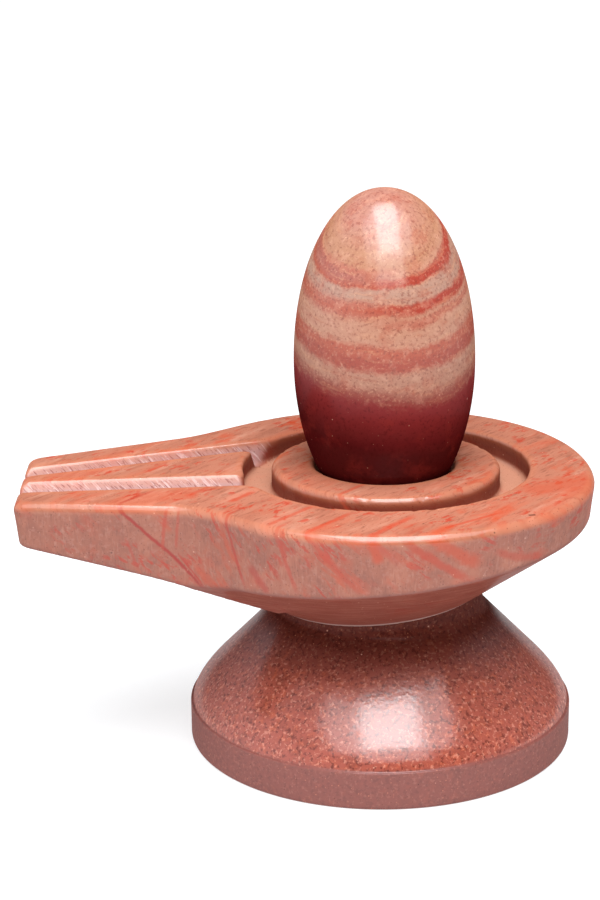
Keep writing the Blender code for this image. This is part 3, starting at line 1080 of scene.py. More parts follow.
@dataclass(frozen=True)
class VeinedStone(PolishedStone):
    """Veined ornamental stone: carved by saw and wheel, then rubbed with wax.

    The eye sees a tan top with brown and orange-red streaks, a greyer pink body with upright fibres below,
    thin red veins that run on from face to face, a paler arris that is partly the stone's own tone and
    partly painted light on its lit rounding, dull scratched channels whose pale pink is a painted sheen of
    the softbox, a pale line at the seat's rim that is a painted highlight, small dark pits and a dark turned
    underside. Places and sizes are in the dish's own millimetres. A run is how many times longer a pattern
    is along its sheets than across them, and a scale below 1 draws a pattern out.
    """

    name: str = "carved_red_veined_stone"
    wax_roughness: float = 0.12
    relief_size: float = 1.1
    relief_depth: float = 0.025
    wax: float = 0.3
    centre: Triple = DISH_PLACE
    top: str = "#a06550"
    side: str = "#915644"
    side_starts: Pair = (-1.2, -2.8)
    side_drift: Pair = (10.0, 5.0)
    streak_run: float = 7.0
    top_streaks: tuple[Stain, ...] = (
        Stain("#824c3b", 2.4, 0.46, 0.66, 0.4, 4.0),
        Stain("#bb8a74", 3.4, 0.5, 0.7, 0.42, 3.0),
        Stain("#622f23", 0.7, 0.55, 0.68, 0.36, 2.0),
        Stain("#ae5036", 7.0, 0.48, 0.66, 0.5, 4.0),
    )
    flame_run: float = 3.5
    flames: tuple[Stain, ...] = (
        Stain("#a32e1b", 1.2, 0.52, 0.62, 0.72, 3.0),
        Stain("#ac4226", 3.8, 0.5, 0.64, 0.6, 4.0),
    )
    flame_patches: tuple[Stain, ...] = (
        Stain(None, 12.0, 0.46, 0.62, 1.0, 2.0),
        Stain(None, 17.0, 0.48, 0.66, 1.0, 1.0),
    )
    body: tuple[Stain, ...] = (
        Stain("#7d483b", 6.0, 0.45, 0.68, 0.5, 4.0),
        Stain("#a96751", 9.0, 0.5, 0.68, 0.5, 3.0),
        Stain("#a44a32", 11.0, 0.52, 0.7, 0.5, 4.0),
        Stain("#ab7a6c", 1.3, 0.5, 0.68, 0.25, 4.0),
    )
    fibre_scale: Triple = (1.0, 1.0, 0.2)
    fibres: tuple[Stain, ...] = (
        Stain("#6a3a31", 0.55, 0.5, 0.72, 0.3),
        Stain("#b4826f", 0.9, 0.55, 0.75, 0.2),
    )
    veins: tuple[Vein, ...] = (
        Vein("#8f2015", (-62.5, -24.8, -11.0), SHEETS, 0.45, 19.0, 0.9, 0.8),
        Vein("#9a2c1e", (-55.4, -27.4, -17.2), (0.6, -0.5, 0.62), 0.3, 6.5, 0.7, 0.5),
        Vein("#a23a28", (-61.5, -25.0, -6.0), (0.9, -0.4, -0.12), 0.45, 7.0, 0.65),
        Vein("#a23a28", (-58.2, -25.6, -6.0), (0.9, -0.4, -0.1), 0.4, 6.5, 0.55),
        Vein("#9c3a2b", (-70.0, -23.0, -13.0), (0.85, -0.4, 0.3), 0.4, 5.0, 0.55),
        Vein("#9e2c1b", (-45.6, -36.9, -7.5), STEEP_SHEETS, 0.5, 12.0, 0.75),
        Vein("#a33826", (-34.2, -47.9, -7.0), STEEP_SHEETS, 0.6, 11.0, 0.6),
        Vein("#962a1e", (-40.1, -43.0, -14.6), SHEETS, 1.3, 5.0, 0.6),
        Vein("#a13a24", (2.2, -57.7, -7.2), SHEETS, 0.9, 12.0, 0.75),
        Vein("#ab4023", (6.4, -57.5, -4.6), SHEETS, 1.4, 10.0, 0.7),
        Vein("#ab4023", (-13.1, -56.9, -3.4), STEEP_SHEETS, 1.3, 4.5, 0.8),
        Vein("#a13a24", (-22.0, -54.5, -9.5), SHEETS, 0.7, 9.0, 0.65, 0.8),
        Vein("#a13a24", (24.0, -51.0, -8.0), SHEETS, 0.8, 9.0, 0.6, 0.8),
        Vein("#a9452c", (41.5, -25.0, 0.0), (0.3, -0.9, 0.3), 5.5, 14.0, 0.55, 5.0),
        Vein("#a83f2a", (-8.0, -50.0, 0.0), SHEETS, 0.8, 12.0, 0.7, 1.0),
        Vein("#a83f2a", (-24.0, -46.0, 0.0), SHEETS, 0.6, 14.0, 0.65, 0.8),
        Vein("#a83f2a", (-41.1, -20.6, 0.0), SHEETS, 0.7, 6.0, 0.7),
        Vein("#a83f2a", (-51.3, -14.1, 0.0), SHEETS, 0.6, 6.0, 0.6),
        Vein("#a83f2a", (-30.5, -36.9, 0.0), SHEETS, 0.6, 11.0, 0.6),
        Vein("#a83f2a", (13.0, -48.5, 0.0), (0.42, -0.75, 0.5), 0.5, 11.0, 0.65),
        Vein("#a83f2a", (-13.0, -21.0, 0.4), SHEETS, 0.5, 9.0, 0.6),
        Vein("#2c100b", (28.5, -47.0, 0.0), (0.0, 1.0, 0.2), 0.45, 1.1, 0.9),
    )
    carved: tuple[Tint, ...] = (
        # Painted sheen: the channels' pale pink stands in for the softbox's blurred reflection in their
        # slanted walls.
        Tint(Mark.CHANNEL, "#a5827e", 0.65),
        Tint(Mark.MOAT_FLOOR, "#b9846b", 0.7),
        Tint(Mark.MOAT_WALL, "#6c261a", 0.75),
    )
    lathed: Tint = Tint(Mark.UNDERSIDE, "#773d34", 0.85)
    lathe_scale: Triple = (0.1, 0.1, 1.5)
    lathed_streaks: Stain = Stain("#965c4e", 0.8, 0.42, 0.66, 0.45, 4.0)
    # Painted light on edges: a painted highlight at the seat's rim and partly painted light on the arris.
    rubbed: tuple[Tint, ...] = (
        # Painted highlight: the pale line stands in for the light caught by the seat's rounded rim.
        Tint(Mark.BEAD, "#b99a92", 0.7),
        # Partly painted light: the arris's paler tone is partly the stone's own and partly light on its lit
        # rounding.
        Tint(Mark.ARRIS, "#b26a4a", 0.25),
    )
    channel_polish: float = 0.2
    scratch_run: float = 8.0
    scratches: tuple[Stain, ...] = (
        Stain("#7a4038", 0.42, 0.54, 0.64, 0.75, 2.0),
        Stain("#d9bfba", 0.7, 0.54, 0.68, 0.35, 2.0),
    )
    grains: tuple[Specks, ...] = (
        Specks("#45180f", 0.66, 0.22, 0.42, 0.6),
        Specks("#240b08", 3.4, 0.32, 0.24, 0.85),
        Specks("#dca58a", 1.6, 0.26, 0.2, 0.55),
    )

    def sides(self, paint: StonePaint) -> None:
        """Lays the pinker body, with its upright fibres, over all that is below the top face.

        Args:
            paint: The paint.
        """
        height = paint.add("ShaderNodeSeparateXYZ", {0: paint.place}, "Z")
        drift = paint.wandering(*self.side_drift)
        drift = paint.add("ShaderNodeMath", {0: drift, 1: 0.0}, operation="MAXIMUM")
        height = paint.add("ShaderNodeMath", {0: height, 1: drift}, operation="ADD")
        edges = {"Value": height, "From Min": self.side_starts[0], "From Max": self.side_starts[1]}
        below = paint.add("ShaderNodeMapRange", edges, interpolation_type="SMOOTHSTEP")
        paint.cover(self.side, below)
        for stain in self.body:
            paint.stain(stain, within=below)
        upright = paint.add("ShaderNodeMapping", {"Vector": paint.place, "Scale": self.fibre_scale})
        for stain in self.fibres:
            paint.stain(stain, place=upright, within=below)

    def marked(self, paint: StonePaint, mark: Mark, strength: float = 1.0) -> Socket:
        """Gives how strongly the mesh bears a mark.

        Args:
            paint: The paint.
            mark: The mark.
            strength: The most that comes out.

        Returns:
            The socket of the share.
        """
        share = paint.add("ShaderNodeAttribute", output="Fac", attribute_name=mark.value)
        return paint.add("ShaderNodeMath", {0: share, 1: strength}, operation="MULTIPLY")

    def tint(self, paint: StonePaint, tint: Tint) -> Socket:
        """Colours what bears a mark.

        Args:
            paint: The paint.
            tint: The colour and its mark.

        Returns:
            The socket of how much of the colour shows.
        """
        share = self.marked(paint, tint.mark, tint.share)
        paint.cover(tint.colour, share)
        return share

    def material(self) -> bpy.types.Material:
        """Builds the finish.

        Returns:
            The material.
        """
        material, paint = self.begin(self.top)
        long_sheets = paint.stretched(SHEETS, self.streak_run)
        for stain in self.top_streaks:
            paint.stain(stain, place=long_sheets)
        self.sides(paint)
        short_sheets = paint.stretched(SHEETS, self.flame_run)
        for stain, patch in zip(self.flames, self.flame_patches):
            paint.stain(stain, place=short_sheets, within=paint.patches(patch))
        # The channel's tint among these is a painted sheen; the moat's tints are the carved stone's own.
        for tint in self.carved:
            self.tint(paint, tint)
        for vein in self.veins:
            paint.vein(vein)
        under = self.tint(paint, self.lathed)
        rings = paint.add("ShaderNodeMapping", {"Vector": paint.place, "Scale": self.lathe_scale})
        paint.stain(self.lathed_streaks, place=rings, within=under)
        # Paints the highlight at the seat's rim and the partly painted light of the arris.
        for tint in self.rubbed:
            self.tint(paint, tint)
        in_channel = self.marked(paint, Mark.CHANNEL)
        sawn = paint.stretched(SAW_STROKES, self.scratch_run)
        for stain in self.scratches:
            paint.stain(stain, place=sawn, within=in_channel)
        for specks in self.grains:
            paint.speckle(specks)
        lost = self.marked(paint, Mark.CHANNEL, 1.0 - self.channel_polish)
        polish = paint.add("ShaderNodeMath", {0: 1.0, 1: lost}, operation="SUBTRACT")
        self.end(paint, polish)
        return material


@dataclass(frozen=True)
class SpeckledStone(PolishedStone):
    """Dark close-grained stone: turned on a lathe and rubbed with wax.

    The eye sees an even red brown, densely speckled with rust and black, with a bright highlight in a soft
    one, a greyer, duller band below, and less polish towards the neck, which the cloth hardly reached. The
    foot also darkens towards the neck: painted shade, where the dish's overhang shadows it. Ends are heights
    in millimetres.
    """

    name: str = "turned_dark_speckled_stone"
    wax_roughness: float = 0.19
    relief_size: float = 1.5
    relief_depth: float = 0.05
    wax: float = 0.45
    rim_share: float = 0.7
    bell: str = "#994a3a"
    band: str = "#7a4d48"
    band_ends: Pair = (10.3, 11.0)
    neck_ends: Pair = (36.0, 31.0)
    band_polish: float = 0.4
    neck_polish: float = 0.08
    # Painted shade: the foot darkens towards the neck, where the dish's overhang shadows it.
    shade: str = "#3c1410"
    shade_ends: Pair = (23.0, 37.0)
    cover_share: float = 0.75
    mottles: tuple[Stain, ...] = (
        Stain("#703122", 3.6, 0.46, 0.66, 0.5, 5.0),
        Stain("#b9583b", 1.8, 0.5, 0.66, 0.6, 4.0),
        Stain("#4f180f", 1.0, 0.5, 0.66, 0.7, 3.0),
        Stain("#cd8670", 0.9, 0.53, 0.68, 0.6, 3.0),
    )
    grains: tuple[Specks, ...] = (
        Specks("#240906", 0.7, 0.2, 0.3, 0.65),
        Specks("#d98a69", 0.8, 0.2, 0.3, 0.6),
        Specks("#e3a48c", 2.6, 0.3, 0.2, 0.75),
        Specks("#200705", 2.9, 0.34, 0.22, 0.75),
    )

    def material(self) -> bpy.types.Material:
        """Builds the finish.

        Returns:
            The material.
        """
        material, paint = self.begin(self.bell)
        for stain in self.mottles:
            paint.stain(stain)
        height = paint.add("ShaderNodeSeparateXYZ", {0: paint.place}, "Z")
        # The first cover is painted shade under the dish, the second the band's own greyer tone.
        for colour, (start, full) in ((self.shade, self.shade_ends), (self.band, self.band_ends[::-1])):
            edges = {"Value": height, "From Min": start, "From Max": full, "To Max": self.cover_share}
            paint.cover(colour, paint.add("ShaderNodeMapRange", edges, interpolation_type="SMOOTHSTEP"))
        for specks in self.grains:
            paint.speckle(specks)
        polish: Socket | float = 1.0
        dull_ends = ((self.band_ends, self.band_polish), (self.neck_ends, self.neck_polish))
        for (dull, bright), share in dull_ends:
            edges = {"Value": height, "From Min": dull, "From Max": bright, "To Min": share}
            gloss = paint.add("ShaderNodeMapRange", edges, interpolation_type="SMOOTHSTEP")
            polish = paint.add("ShaderNodeMath", {0: gloss, 1: polish}, operation="MULTIPLY")
        self.end(paint, polish)
        return material


@dataclass
class EggStone:
    """The egg: two half ellipses about its widest level, with a small flat to stand on."""

    centre: Pair = EGG_AXIS
    radius: float = 23.85
    widest: float = 104.5
    top: float = 150.5
    lower_reach: float = 43.0
    flat_radius: float = 4.0
    fullness: float = 2.08
    lower_fullness: float = 2.0
    rows: int = 120
    segments: int = 280
    wear: Wear = Wear(
        unevenness=0.12, wave_size=16.0, pit_depth=0.06, pit_spacing=4.2, pit_share=0.3, seed=3.0
    )

    def radius_at(self, height: np.ndarray) -> np.ndarray:
        """Gives the egg's radius.

        Args:
            height: Heights above the floor, in millimetres.

        Returns:
            The radii.
        """
        above = height > self.widest
        reach = np.where(above, self.top - self.widest, self.lower_reach)
        share = np.abs(height - self.widest) / reach
        power = np.where(above, self.fullness, self.lower_fullness)
        return self.radius * np.maximum(1 - share**power, 0.0) ** (1 / power)

    @property
    def bottom(self) -> float:
        """The height of the small flat."""
        return self.widest - self.lower_reach * math.sqrt(1 - (self.flat_radius / self.radius) ** 2)

    def profile(self) -> list[Pair]:
        """Gives half the egg's outline.

        Returns:
            The (radius, height) points from the foot of the axis to its top, in millimetres.
        """
        first = math.asin((self.widest - self.bottom) / self.lower_reach)
        angles = np.linspace(-first, math.pi / 2, self.rows)
        reach = np.where(angles < 0, self.lower_reach, self.top - self.widest)
        heights = self.widest + reach * np.sin(angles)
        points = list(zip(self.radius_at(heights).tolist(), heights.tolist()))
        return [(0.0, self.bottom), (self.flat_radius / 2, self.bottom), *points[:-1], (0.0, self.top)]

    def build(self, lathe: Lathe, weather: Weather, material: bpy.types.Material) -> bpy.types.Object:
        """Turns the egg and wears it smooth.

        Args:
            lathe: Turns its profile.
            weather: Leaves the marks of wear.
            material: Its finish.

        Returns:
            The finished piece.
        """
        egg = lathe.turn("banded_egg", self.profile(), self.centre, self.segments, material)
        weather.wear(egg, material, self.wear)
        return egg


@dataclass
class BellFoot:
    """The foot: a plain band on the floor, a bell above it and a short neck, slanted to the dish's seat.

    A bend is the point that a round stretch leans towards, and the steps are how finely each stretch is
    divided.
    """

    radius: float = 51.8
    edge: float = 1.2
    band_height: float = 10.4
    band_arris: float = 0.5
    shoulder_radius: float = 51.2
    shoulder_bend: Pair = (50.6, 14.0)
    shoulder_top: Pair = (44.2, 20.5)
    bell_top: Pair = (29.0, 36.3)
    neck_bend: Pair = (27.3, 38.1)
    neck_radius: float = 27.3
    neck_height: float = 41.6
    neck_tilt: float = SEAT_TILT
    segments: int = 360
    base_steps: int = 24
    edge_steps: int = 5
    band_steps: int = 12
    arris_steps: int = 4
    shoulder_steps: int = 20
    bell_steps: int = 34
    neck_steps: int = 12
    top_steps: int = 14
    wear: Wear = Wear(pit_depth=0.07, pit_spacing=3.4, pit_share=0.35, seed=11.0)

    def profile(self) -> list[Pair]:
        """Gives half the foot's outline.

        Returns:
            The (radius, height) points from the foot of the axis to its top, in millimetres.
        """
        rim = (self.radius - self.edge, 0.0)
        band_foot = (self.radius, self.edge)
        crest = (self.radius, self.band_height - self.band_arris)
        shoulder = (self.shoulder_radius, self.band_height)
        neck = (self.neck_radius, self.neck_height)
        top = (0.0, self.neck_height)
        return [
            *straight((0.0, 0.0), rim, self.base_steps),
            *quarter_round(rim, band_foot, (self.radius, 0.0), self.edge_steps),
            *straight(band_foot, crest, self.band_steps),
            *quarter_round(crest, shoulder, (self.radius, self.band_height), self.arris_steps),
            *quarter_round(shoulder, self.shoulder_top, self.shoulder_bend, self.shoulder_steps),
            *straight(self.shoulder_top, self.bell_top, self.bell_steps),
            *quarter_round(self.bell_top, neck, self.neck_bend, self.neck_steps),
            *straight(neck, top, self.top_steps),
            top,
        ]

    def build(self, lathe: Lathe, weather: Weather, material: bpy.types.Material) -> bpy.types.Object:
        """Turns the foot, slants its neck to the dish's seat and weathers it.

        Args:
            lathe: Turns its profile.
            weather: Leaves the marks of wear.
            material: Its finish.

        Returns:
            The finished piece.
        """
        foot = lathe.turn("bell_foot", self.profile(), (0.0, 0.0), self.segments, material)
        for vert in foot.data.vertices:
            share = max(vert.co.z / MM - self.bell_top[1], 0.0) / (self.neck_height - self.bell_top[1])
            vert.co.z += self.neck_tilt * vert.co.x * share
        weather.wear(foot, material, self.wear)
        return foot


@dataclass
class Channel:
    """One drain channel of the spout: a slant-sided trough between its edges at the tip and at the moat."""

    tip_x: float
    tip_edges: Pair
    moat_x: float
    moat_edges: Pair
    tip_depth: float = 3.5
    moat_depth: float = 5.9
    floor_width: float = 2.0
    floor_round: float = 0.8

    def distance(self, x: np.ndarray, y: np.ndarray, z: np.ndarray) -> np.ndarray:
        """Gives the signed distance from the trough's hollow, negative in it.

        Args:
            x: Places along the spout, in the dish's own millimetres.
            y: Places across it.
            z: Heights from the top face.

        Returns:
            The distances.
        """
        along = (x - self.tip_x) / (self.moat_x - self.tip_x)
        edges = zip(self.tip_edges, self.moat_edges)
        near, far = (start + (end - start) * along for start, end in edges)
        depth = self.tip_depth + (self.moat_depth - self.tip_depth) * along
        middle = (near + far) / 2
        drift = (sum(self.moat_edges) - sum(self.tip_edges)) / 2 / (self.moat_x - self.tip_x)
        turn = 1 / math.hypot(1, drift)
        slant = ((far - near) * turn - self.floor_width) / 2 / depth
        half = self.floor_width / 2 + slant * (z + depth)
        sides = (np.abs(y - middle) * turn - half) / np.hypot(1, slant)
        trough = round_max(sides, -depth - z, self.floor_round)
        return round_max(trough, x - self.moat_x, self.floor_round)


@dataclass(frozen=True)
class MarkEdges:
    """The two values between which each mark on the dish grows from nothing to full, in millimetres.

    The arris's are shares of the edge's radius. Depths are below the uncarved skin, and the moat wall's top
    and foot are heights. The glint mark stands at its height above the seat, within its width of the seat's
    rim; its pale line is a painted highlight on the seat's rounded rim.
    """

    arris: Pair = (-1.0, -0.55)
    underside: Pair = (0.9, 0.1)
    ragged: Pair = (2.6, 1.2)
    channel_depth: Pair = (-0.4, -1.2)
    channel_from_moat: Pair = (0.0, 2.0)
    moat_wall: Pair = (1.3, 0.5)
    moat_wall_top: Pair = (-0.2, -1.4)
    moat_wall_foot: Pair = (-5.8, -4.6)
    moat_floor_depth: Pair = (-3.0, -4.0)
    bead: Pair = (1.0, 0.5)
    bead_height: float = 0.3
    bead_width: float = 1.5


@dataclass
class SpoutedDish:
    """The dish, in its own frame: the ring's centre at x = y = 0, and the top face at z = 0.

    Edge radii are pairs: a distance from the ring's centre, and how round the carver left an edge there.
    """

    place: Triple = DISH_PLACE
    foot_axis: Pair = (-DISH_PLACE[0], -DISH_PLACE[1])
    disc_centre: Pair = (-1.1, -2.2)
    disc_half_sizes: Pair = (55.4, 55.8)
    disc_squareness: float = 2.1
    spout_near: tuple[Pair, Pair] = ((-54.9, -26.5), (-99.2, -16.3))
    spout_far: tuple[Pair, Pair] = ((-45.3, 36.5), (-93.9, 22.6))
    spout_root: float = -32.0
    spout_join: float = 8.0
    spout_corner: float = 2.5
    edge_round: float = 2.4
    lower_edge_round: float = 0.9
    wall_taper: float = 1.0
    seat_radius: float = 28.7
    seat_height: float = 41.9
    seat_tilt: float = SEAT_TILT
    underside_slope: float = 0.673
    tip_thickness: float = 11.8
    spout_slope: float = 0.232
    underside_blend: float = 7.0
    underside_flare: float = 1.3
    ring_radius: float = 30.4
    ring_proud: float = 0.4
    moat_radius: float = 38.1
    moat_depth: float = 6.3
    moat_floor_round: float = 1.3
    tongue_round: float = 2.4
    socket_radius: float = 19.1
    socket_wall_slant: float = 0.9
    gap: float = 0.3
    edge_radii: tuple[Pair, ...] = (
        (21.0, 0.5),
        (23.0, 1.8),
        (33.5, 1.8),
        (35.0, 0.8),
        (39.0, 0.8),
        (41.0, 0.45),
    )
    net_low: Pair = (-101.5, -60.5)
    net_high: Triple = (56.5, 56.0, 2.0)
    net_margin: float = 1.5
    mark_edges: MarkEdges = MarkEdges()
    wear: Wear = Wear(
        unevenness=0.06,
        wave_size=11.0,
        pit_depth=0.1,
        pit_spacing=6.5,
        pit_share=0.25,
        chip_depth=0.22,
        chip_size=2.6,
        seed=7.0,
    )
    egg: EggStone = field(default_factory=EggStone)
    channels: tuple[Channel, ...] = (
        Channel(-102.0, (-7.0, 2.2), -35.0, (-11.4, -2.3)),
        Channel(-102.0, (4.5, 11.8), -25.5, (20.4, 27.6)),
    )

    def side(self, x: np.ndarray, y: np.ndarray, start: tuple, end: tuple) -> np.ndarray:
        """Gives how far places lie to the right of a line.

        Args:
            x: Places across.
            y: Places along.
            start: The line's first point.
            end: Its last point.

        Returns:
            The distances.
        """
        along = np.array(end) - np.array(start)
        along = along / np.hypot(*along)
        return along[1] * (x - start[0]) - along[0] * (y - start[1])

    def spout(self, x: np.ndarray, y: np.ndarray) -> np.ndarray:
        """Gives the signed distance from the spout's outline, in plan.

        Args:
            x: Places along the spout, in the dish's own millimetres.
            y: Places across it.

        Returns:
            The distances, negative in the spout.
        """
        near = -self.side(x, y, *self.spout_near)
        far = self.side(x, y, *self.spout_far)
        tip = -self.side(x, y, self.spout_near[1], self.spout_far[1])
        sides = np.maximum(np.maximum(near, far), x - self.spout_root)
        return -smooth_min(-sides, -tip, self.spout_corner)

    def disc(self, x: np.ndarray, y: np.ndarray) -> np.ndarray:
        """Gives the signed distance from the disc's outline, in plan.

        Args:
            x: Places along the spout, in the dish's own millimetres.
            y: Places across it.

        Returns:
            The distances, negative in the disc.
        """
        across, along = x - self.disc_centre[0], y - self.disc_centre[1]
        power = self.disc_squareness
        sides = zip((across, along), self.disc_half_sizes)
        share = sum(np.abs(distance / half) ** power for distance, half in sides)
        share = np.maximum(share, NOTHING) ** (1 / power)
        return np.hypot(across, along) * (1 - 1 / share)

    def outline(self, x: np.ndarray, y: np.ndarray) -> np.ndarray:
        """Gives the signed distance from the whole outline, in plan."""
        return smooth_min(self.disc(x, y), self.spout(x, y), self.spout_join)

    def seat(self, x: np.ndarray) -> np.ndarray:
        """Gives the height of the slanted seat that stands on the foot."""
        return self.seat_height - self.place[2] + self.seat_tilt * (x - self.foot_axis[0])

    def underside(self, x: np.ndarray, y: np.ndarray) -> np.ndarray:
        """Gives the height of the underside: a cone about the foot's axis, blended into the spout's.

        Args:
            x: Places along the spout, in the dish's own millimetres.
            y: Places across it.

        Returns:
            The heights from the top face.
        """
        radius = np.hypot(x - self.foot_axis[0], y - self.foot_axis[1])
        seat = self.seat(x)
        cone = seat + self.underside_slope * (radius - self.seat_radius)
        outside = np.maximum(self.spout(x, y) + self.wall_taper, 0.0)
        spout = -self.tip_thickness - self.spout_slope * (x - self.spout_near[1][0])
        spout = spout + self.underside_flare * outside
        return np.maximum(smooth_min(cone, spout, self.underside_blend), seat)

    def socket(self, x: np.ndarray, y: np.ndarray, z: np.ndarray) -> np.ndarray:
        """Gives the signed distance from the egg's socket, a bowl a little wider than the egg.

        Args:
            x: Places along the spout, in the dish's own millimetres.
            y: Places across it.
            z: Heights from the top face.

        Returns:
            The distances, negative in the socket.
        """
        across = x - (self.egg.centre[0] - self.place[0])
        along = y - (self.egg.centre[1] - self.place[1])
        floor = self.egg.bottom - self.gap - self.place[2]
        share = np.clip((z - floor) / (self.ring_proud - floor), 0.0, 1.0)
        mouth = self.socket_radius - self.egg.radius_at(np.array(self.place[2] + self.ring_proud))
        height = np.minimum(z, self.ring_proud) + self.place[2]
        radius = self.egg.radius_at(np.maximum(height, self.egg.bottom))
        radius = radius + self.gap + (mouth - self.gap) * share
        return np.maximum((np.hypot(across, along) - radius) * self.socket_wall_slant, floor - z)

    def carving(self, x: np.ndarray, y: np.ndarray, z: np.ndarray) -> np.ndarray:
        """Gives the signed distance from all that is carved into the top face.

        Args:
            x: Places along the spout, in the dish's own millimetres.
            y: Places across it.
            z: Heights from the top face.

        Returns:
            The distances, negative where the stone is cut away.
        """
        radius = np.hypot(x, y)
        between = np.maximum(self.ring_radius - radius, radius - self.moat_radius)
        hollow = round_max(between, -self.moat_depth - z, self.moat_floor_round)
        for channel in self.channels:
            hollow = smooth_min(hollow, channel.distance(x, y, z), self.tongue_round)
        return np.minimum(hollow, self.socket(x, y, z))

    def blank(self, x: np.ndarray, y: np.ndarray, z: np.ndarray) -> np.ndarray:
        """Gives the signed distance from the dish before anything is carved into its top.

        Args:
            x: Places along the spout, in the dish's own millimetres.
            y: Places across it.
            z: Heights from the top face.

        Returns:
            The distances, negative in the stone.
        """
        floor = self.underside(x, y)
        depth = np.clip((-z - self.edge_round) / (-floor - self.edge_round), 0.0, 1.0)
        wall = self.outline(x, y) + self.wall_taper * depth
        raised = np.hypot(x, y) < (self.ring_radius + self.moat_radius) / 2
        slab = round_max(wall, z - np.where(raised, self.ring_proud, 0.0), self.edge_round)
        return round_max(slab, (floor - z) / math.hypot(1, self.underside_slope), self.lower_edge_round)

    def lip(self, x: np.ndarray, y: np.ndarray) -> np.ndarray:
        """Gives the radius that the carver left on each edge, by its place in plan."""
        return np.interp(np.hypot(x, y), *zip(*self.edge_radii))

    def distance(self, x: np.ndarray, y: np.ndarray, z: np.ndarray) -> np.ndarray:
        """Gives the signed distance from the carved dish.

        Args:
            x: Places along the spout, in the dish's own millimetres.
            y: Places across it.
            z: Heights from the top face.

        Returns:
            The distances, negative in the stone.
        """
        return round_max(self.blank(x, y, z), -self.carving(x, y, z), self.lip(x, y))

    def marks(self, points: np.ndarray) -> dict[Mark, np.ndarray]:
        """Tells which points lie on a rubbed arris, on the underside, in the carving and so on.

        Args:
            points: The mesh's points, in the dish's own millimetres.

        Returns:
            How strongly each point bears each mark.
        """
        x, y, z = points.T
        edges = self.mark_edges
        wall = np.maximum(self.outline(x, y), -self.carving(x, y, z))
        depth = self.blank(x, y, z)
        radius = np.hypot(x, y)
        upright = np.minimum(np.abs(radius - self.moat_radius), np.abs(radius - self.ring_radius))
        in_moat = (radius > self.ring_radius) & (radius < self.moat_radius)
        at_rim = np.hypot(x - self.foot_axis[0], y - self.foot_axis[1]) > self.seat_radius - edges.bead_width
        arris = smooth_step(*edges.arris, np.minimum(wall, z) / self.edge_round)
        under = smooth_step(*edges.underside, z - self.underside(x, y))
        ragged = arris * smooth_step(*edges.ragged, upright)
        channel = smooth_step(*edges.channel_depth, depth)
        channel = channel * smooth_step(*edges.channel_from_moat, radius - self.moat_radius)
        moat_wall = smooth_step(*edges.moat_wall, upright) * smooth_step(*edges.moat_wall_top, z)
        moat_wall = moat_wall * smooth_step(*edges.moat_wall_foot, z)
        moat_floor = in_moat * smooth_step(*edges.moat_wall_foot[::-1], z)
        moat_floor = moat_floor * smooth_step(*edges.moat_floor_depth, depth)
        # Where the seat's rounded rim gets its painted highlight.
        bead = at_rim * smooth_step(*edges.bead, np.abs(z - self.seat(x) - edges.bead_height))
        return dict(zip(Mark, (arris, under, ragged, channel, moat_wall, moat_floor, bead)))

    def build(self, net: SurfaceNet, weather: Weather, material: bpy.types.Material) -> bpy.types.Object:
        """Carves the dish and weathers it.

        Args:
            net: Meshes its distance rule.
            weather: Leaves pits, chips and hollows.
            material: Its finish.

        Returns:
            The finished piece.
        """
        drop = self.seat_tilt * self.seat_radius + self.net_margin
        low = (*self.net_low, self.seat_height - self.place[2] - drop)
        points, quads = net.mesh(self.distance, low, self.net_high)
        placed = (points + np.array(self.place)) * MM
        dish = mesh_object("spouted_dish", placed, faces=quads.tolist(), marks=self.marks(points))
        weather.wear(dish, material, self.wear)
        return dish


@dataclass(frozen=True)
class Softbox:
    """A lamp behind diffusing cloth, in front of the stone and above it.

    Its elevation is in degrees, its power in watts, and its two sides and distance in millimetres.
    """

    name: str
    elevation: float
    size: Pair
    power: float
    distance: float = 700.0


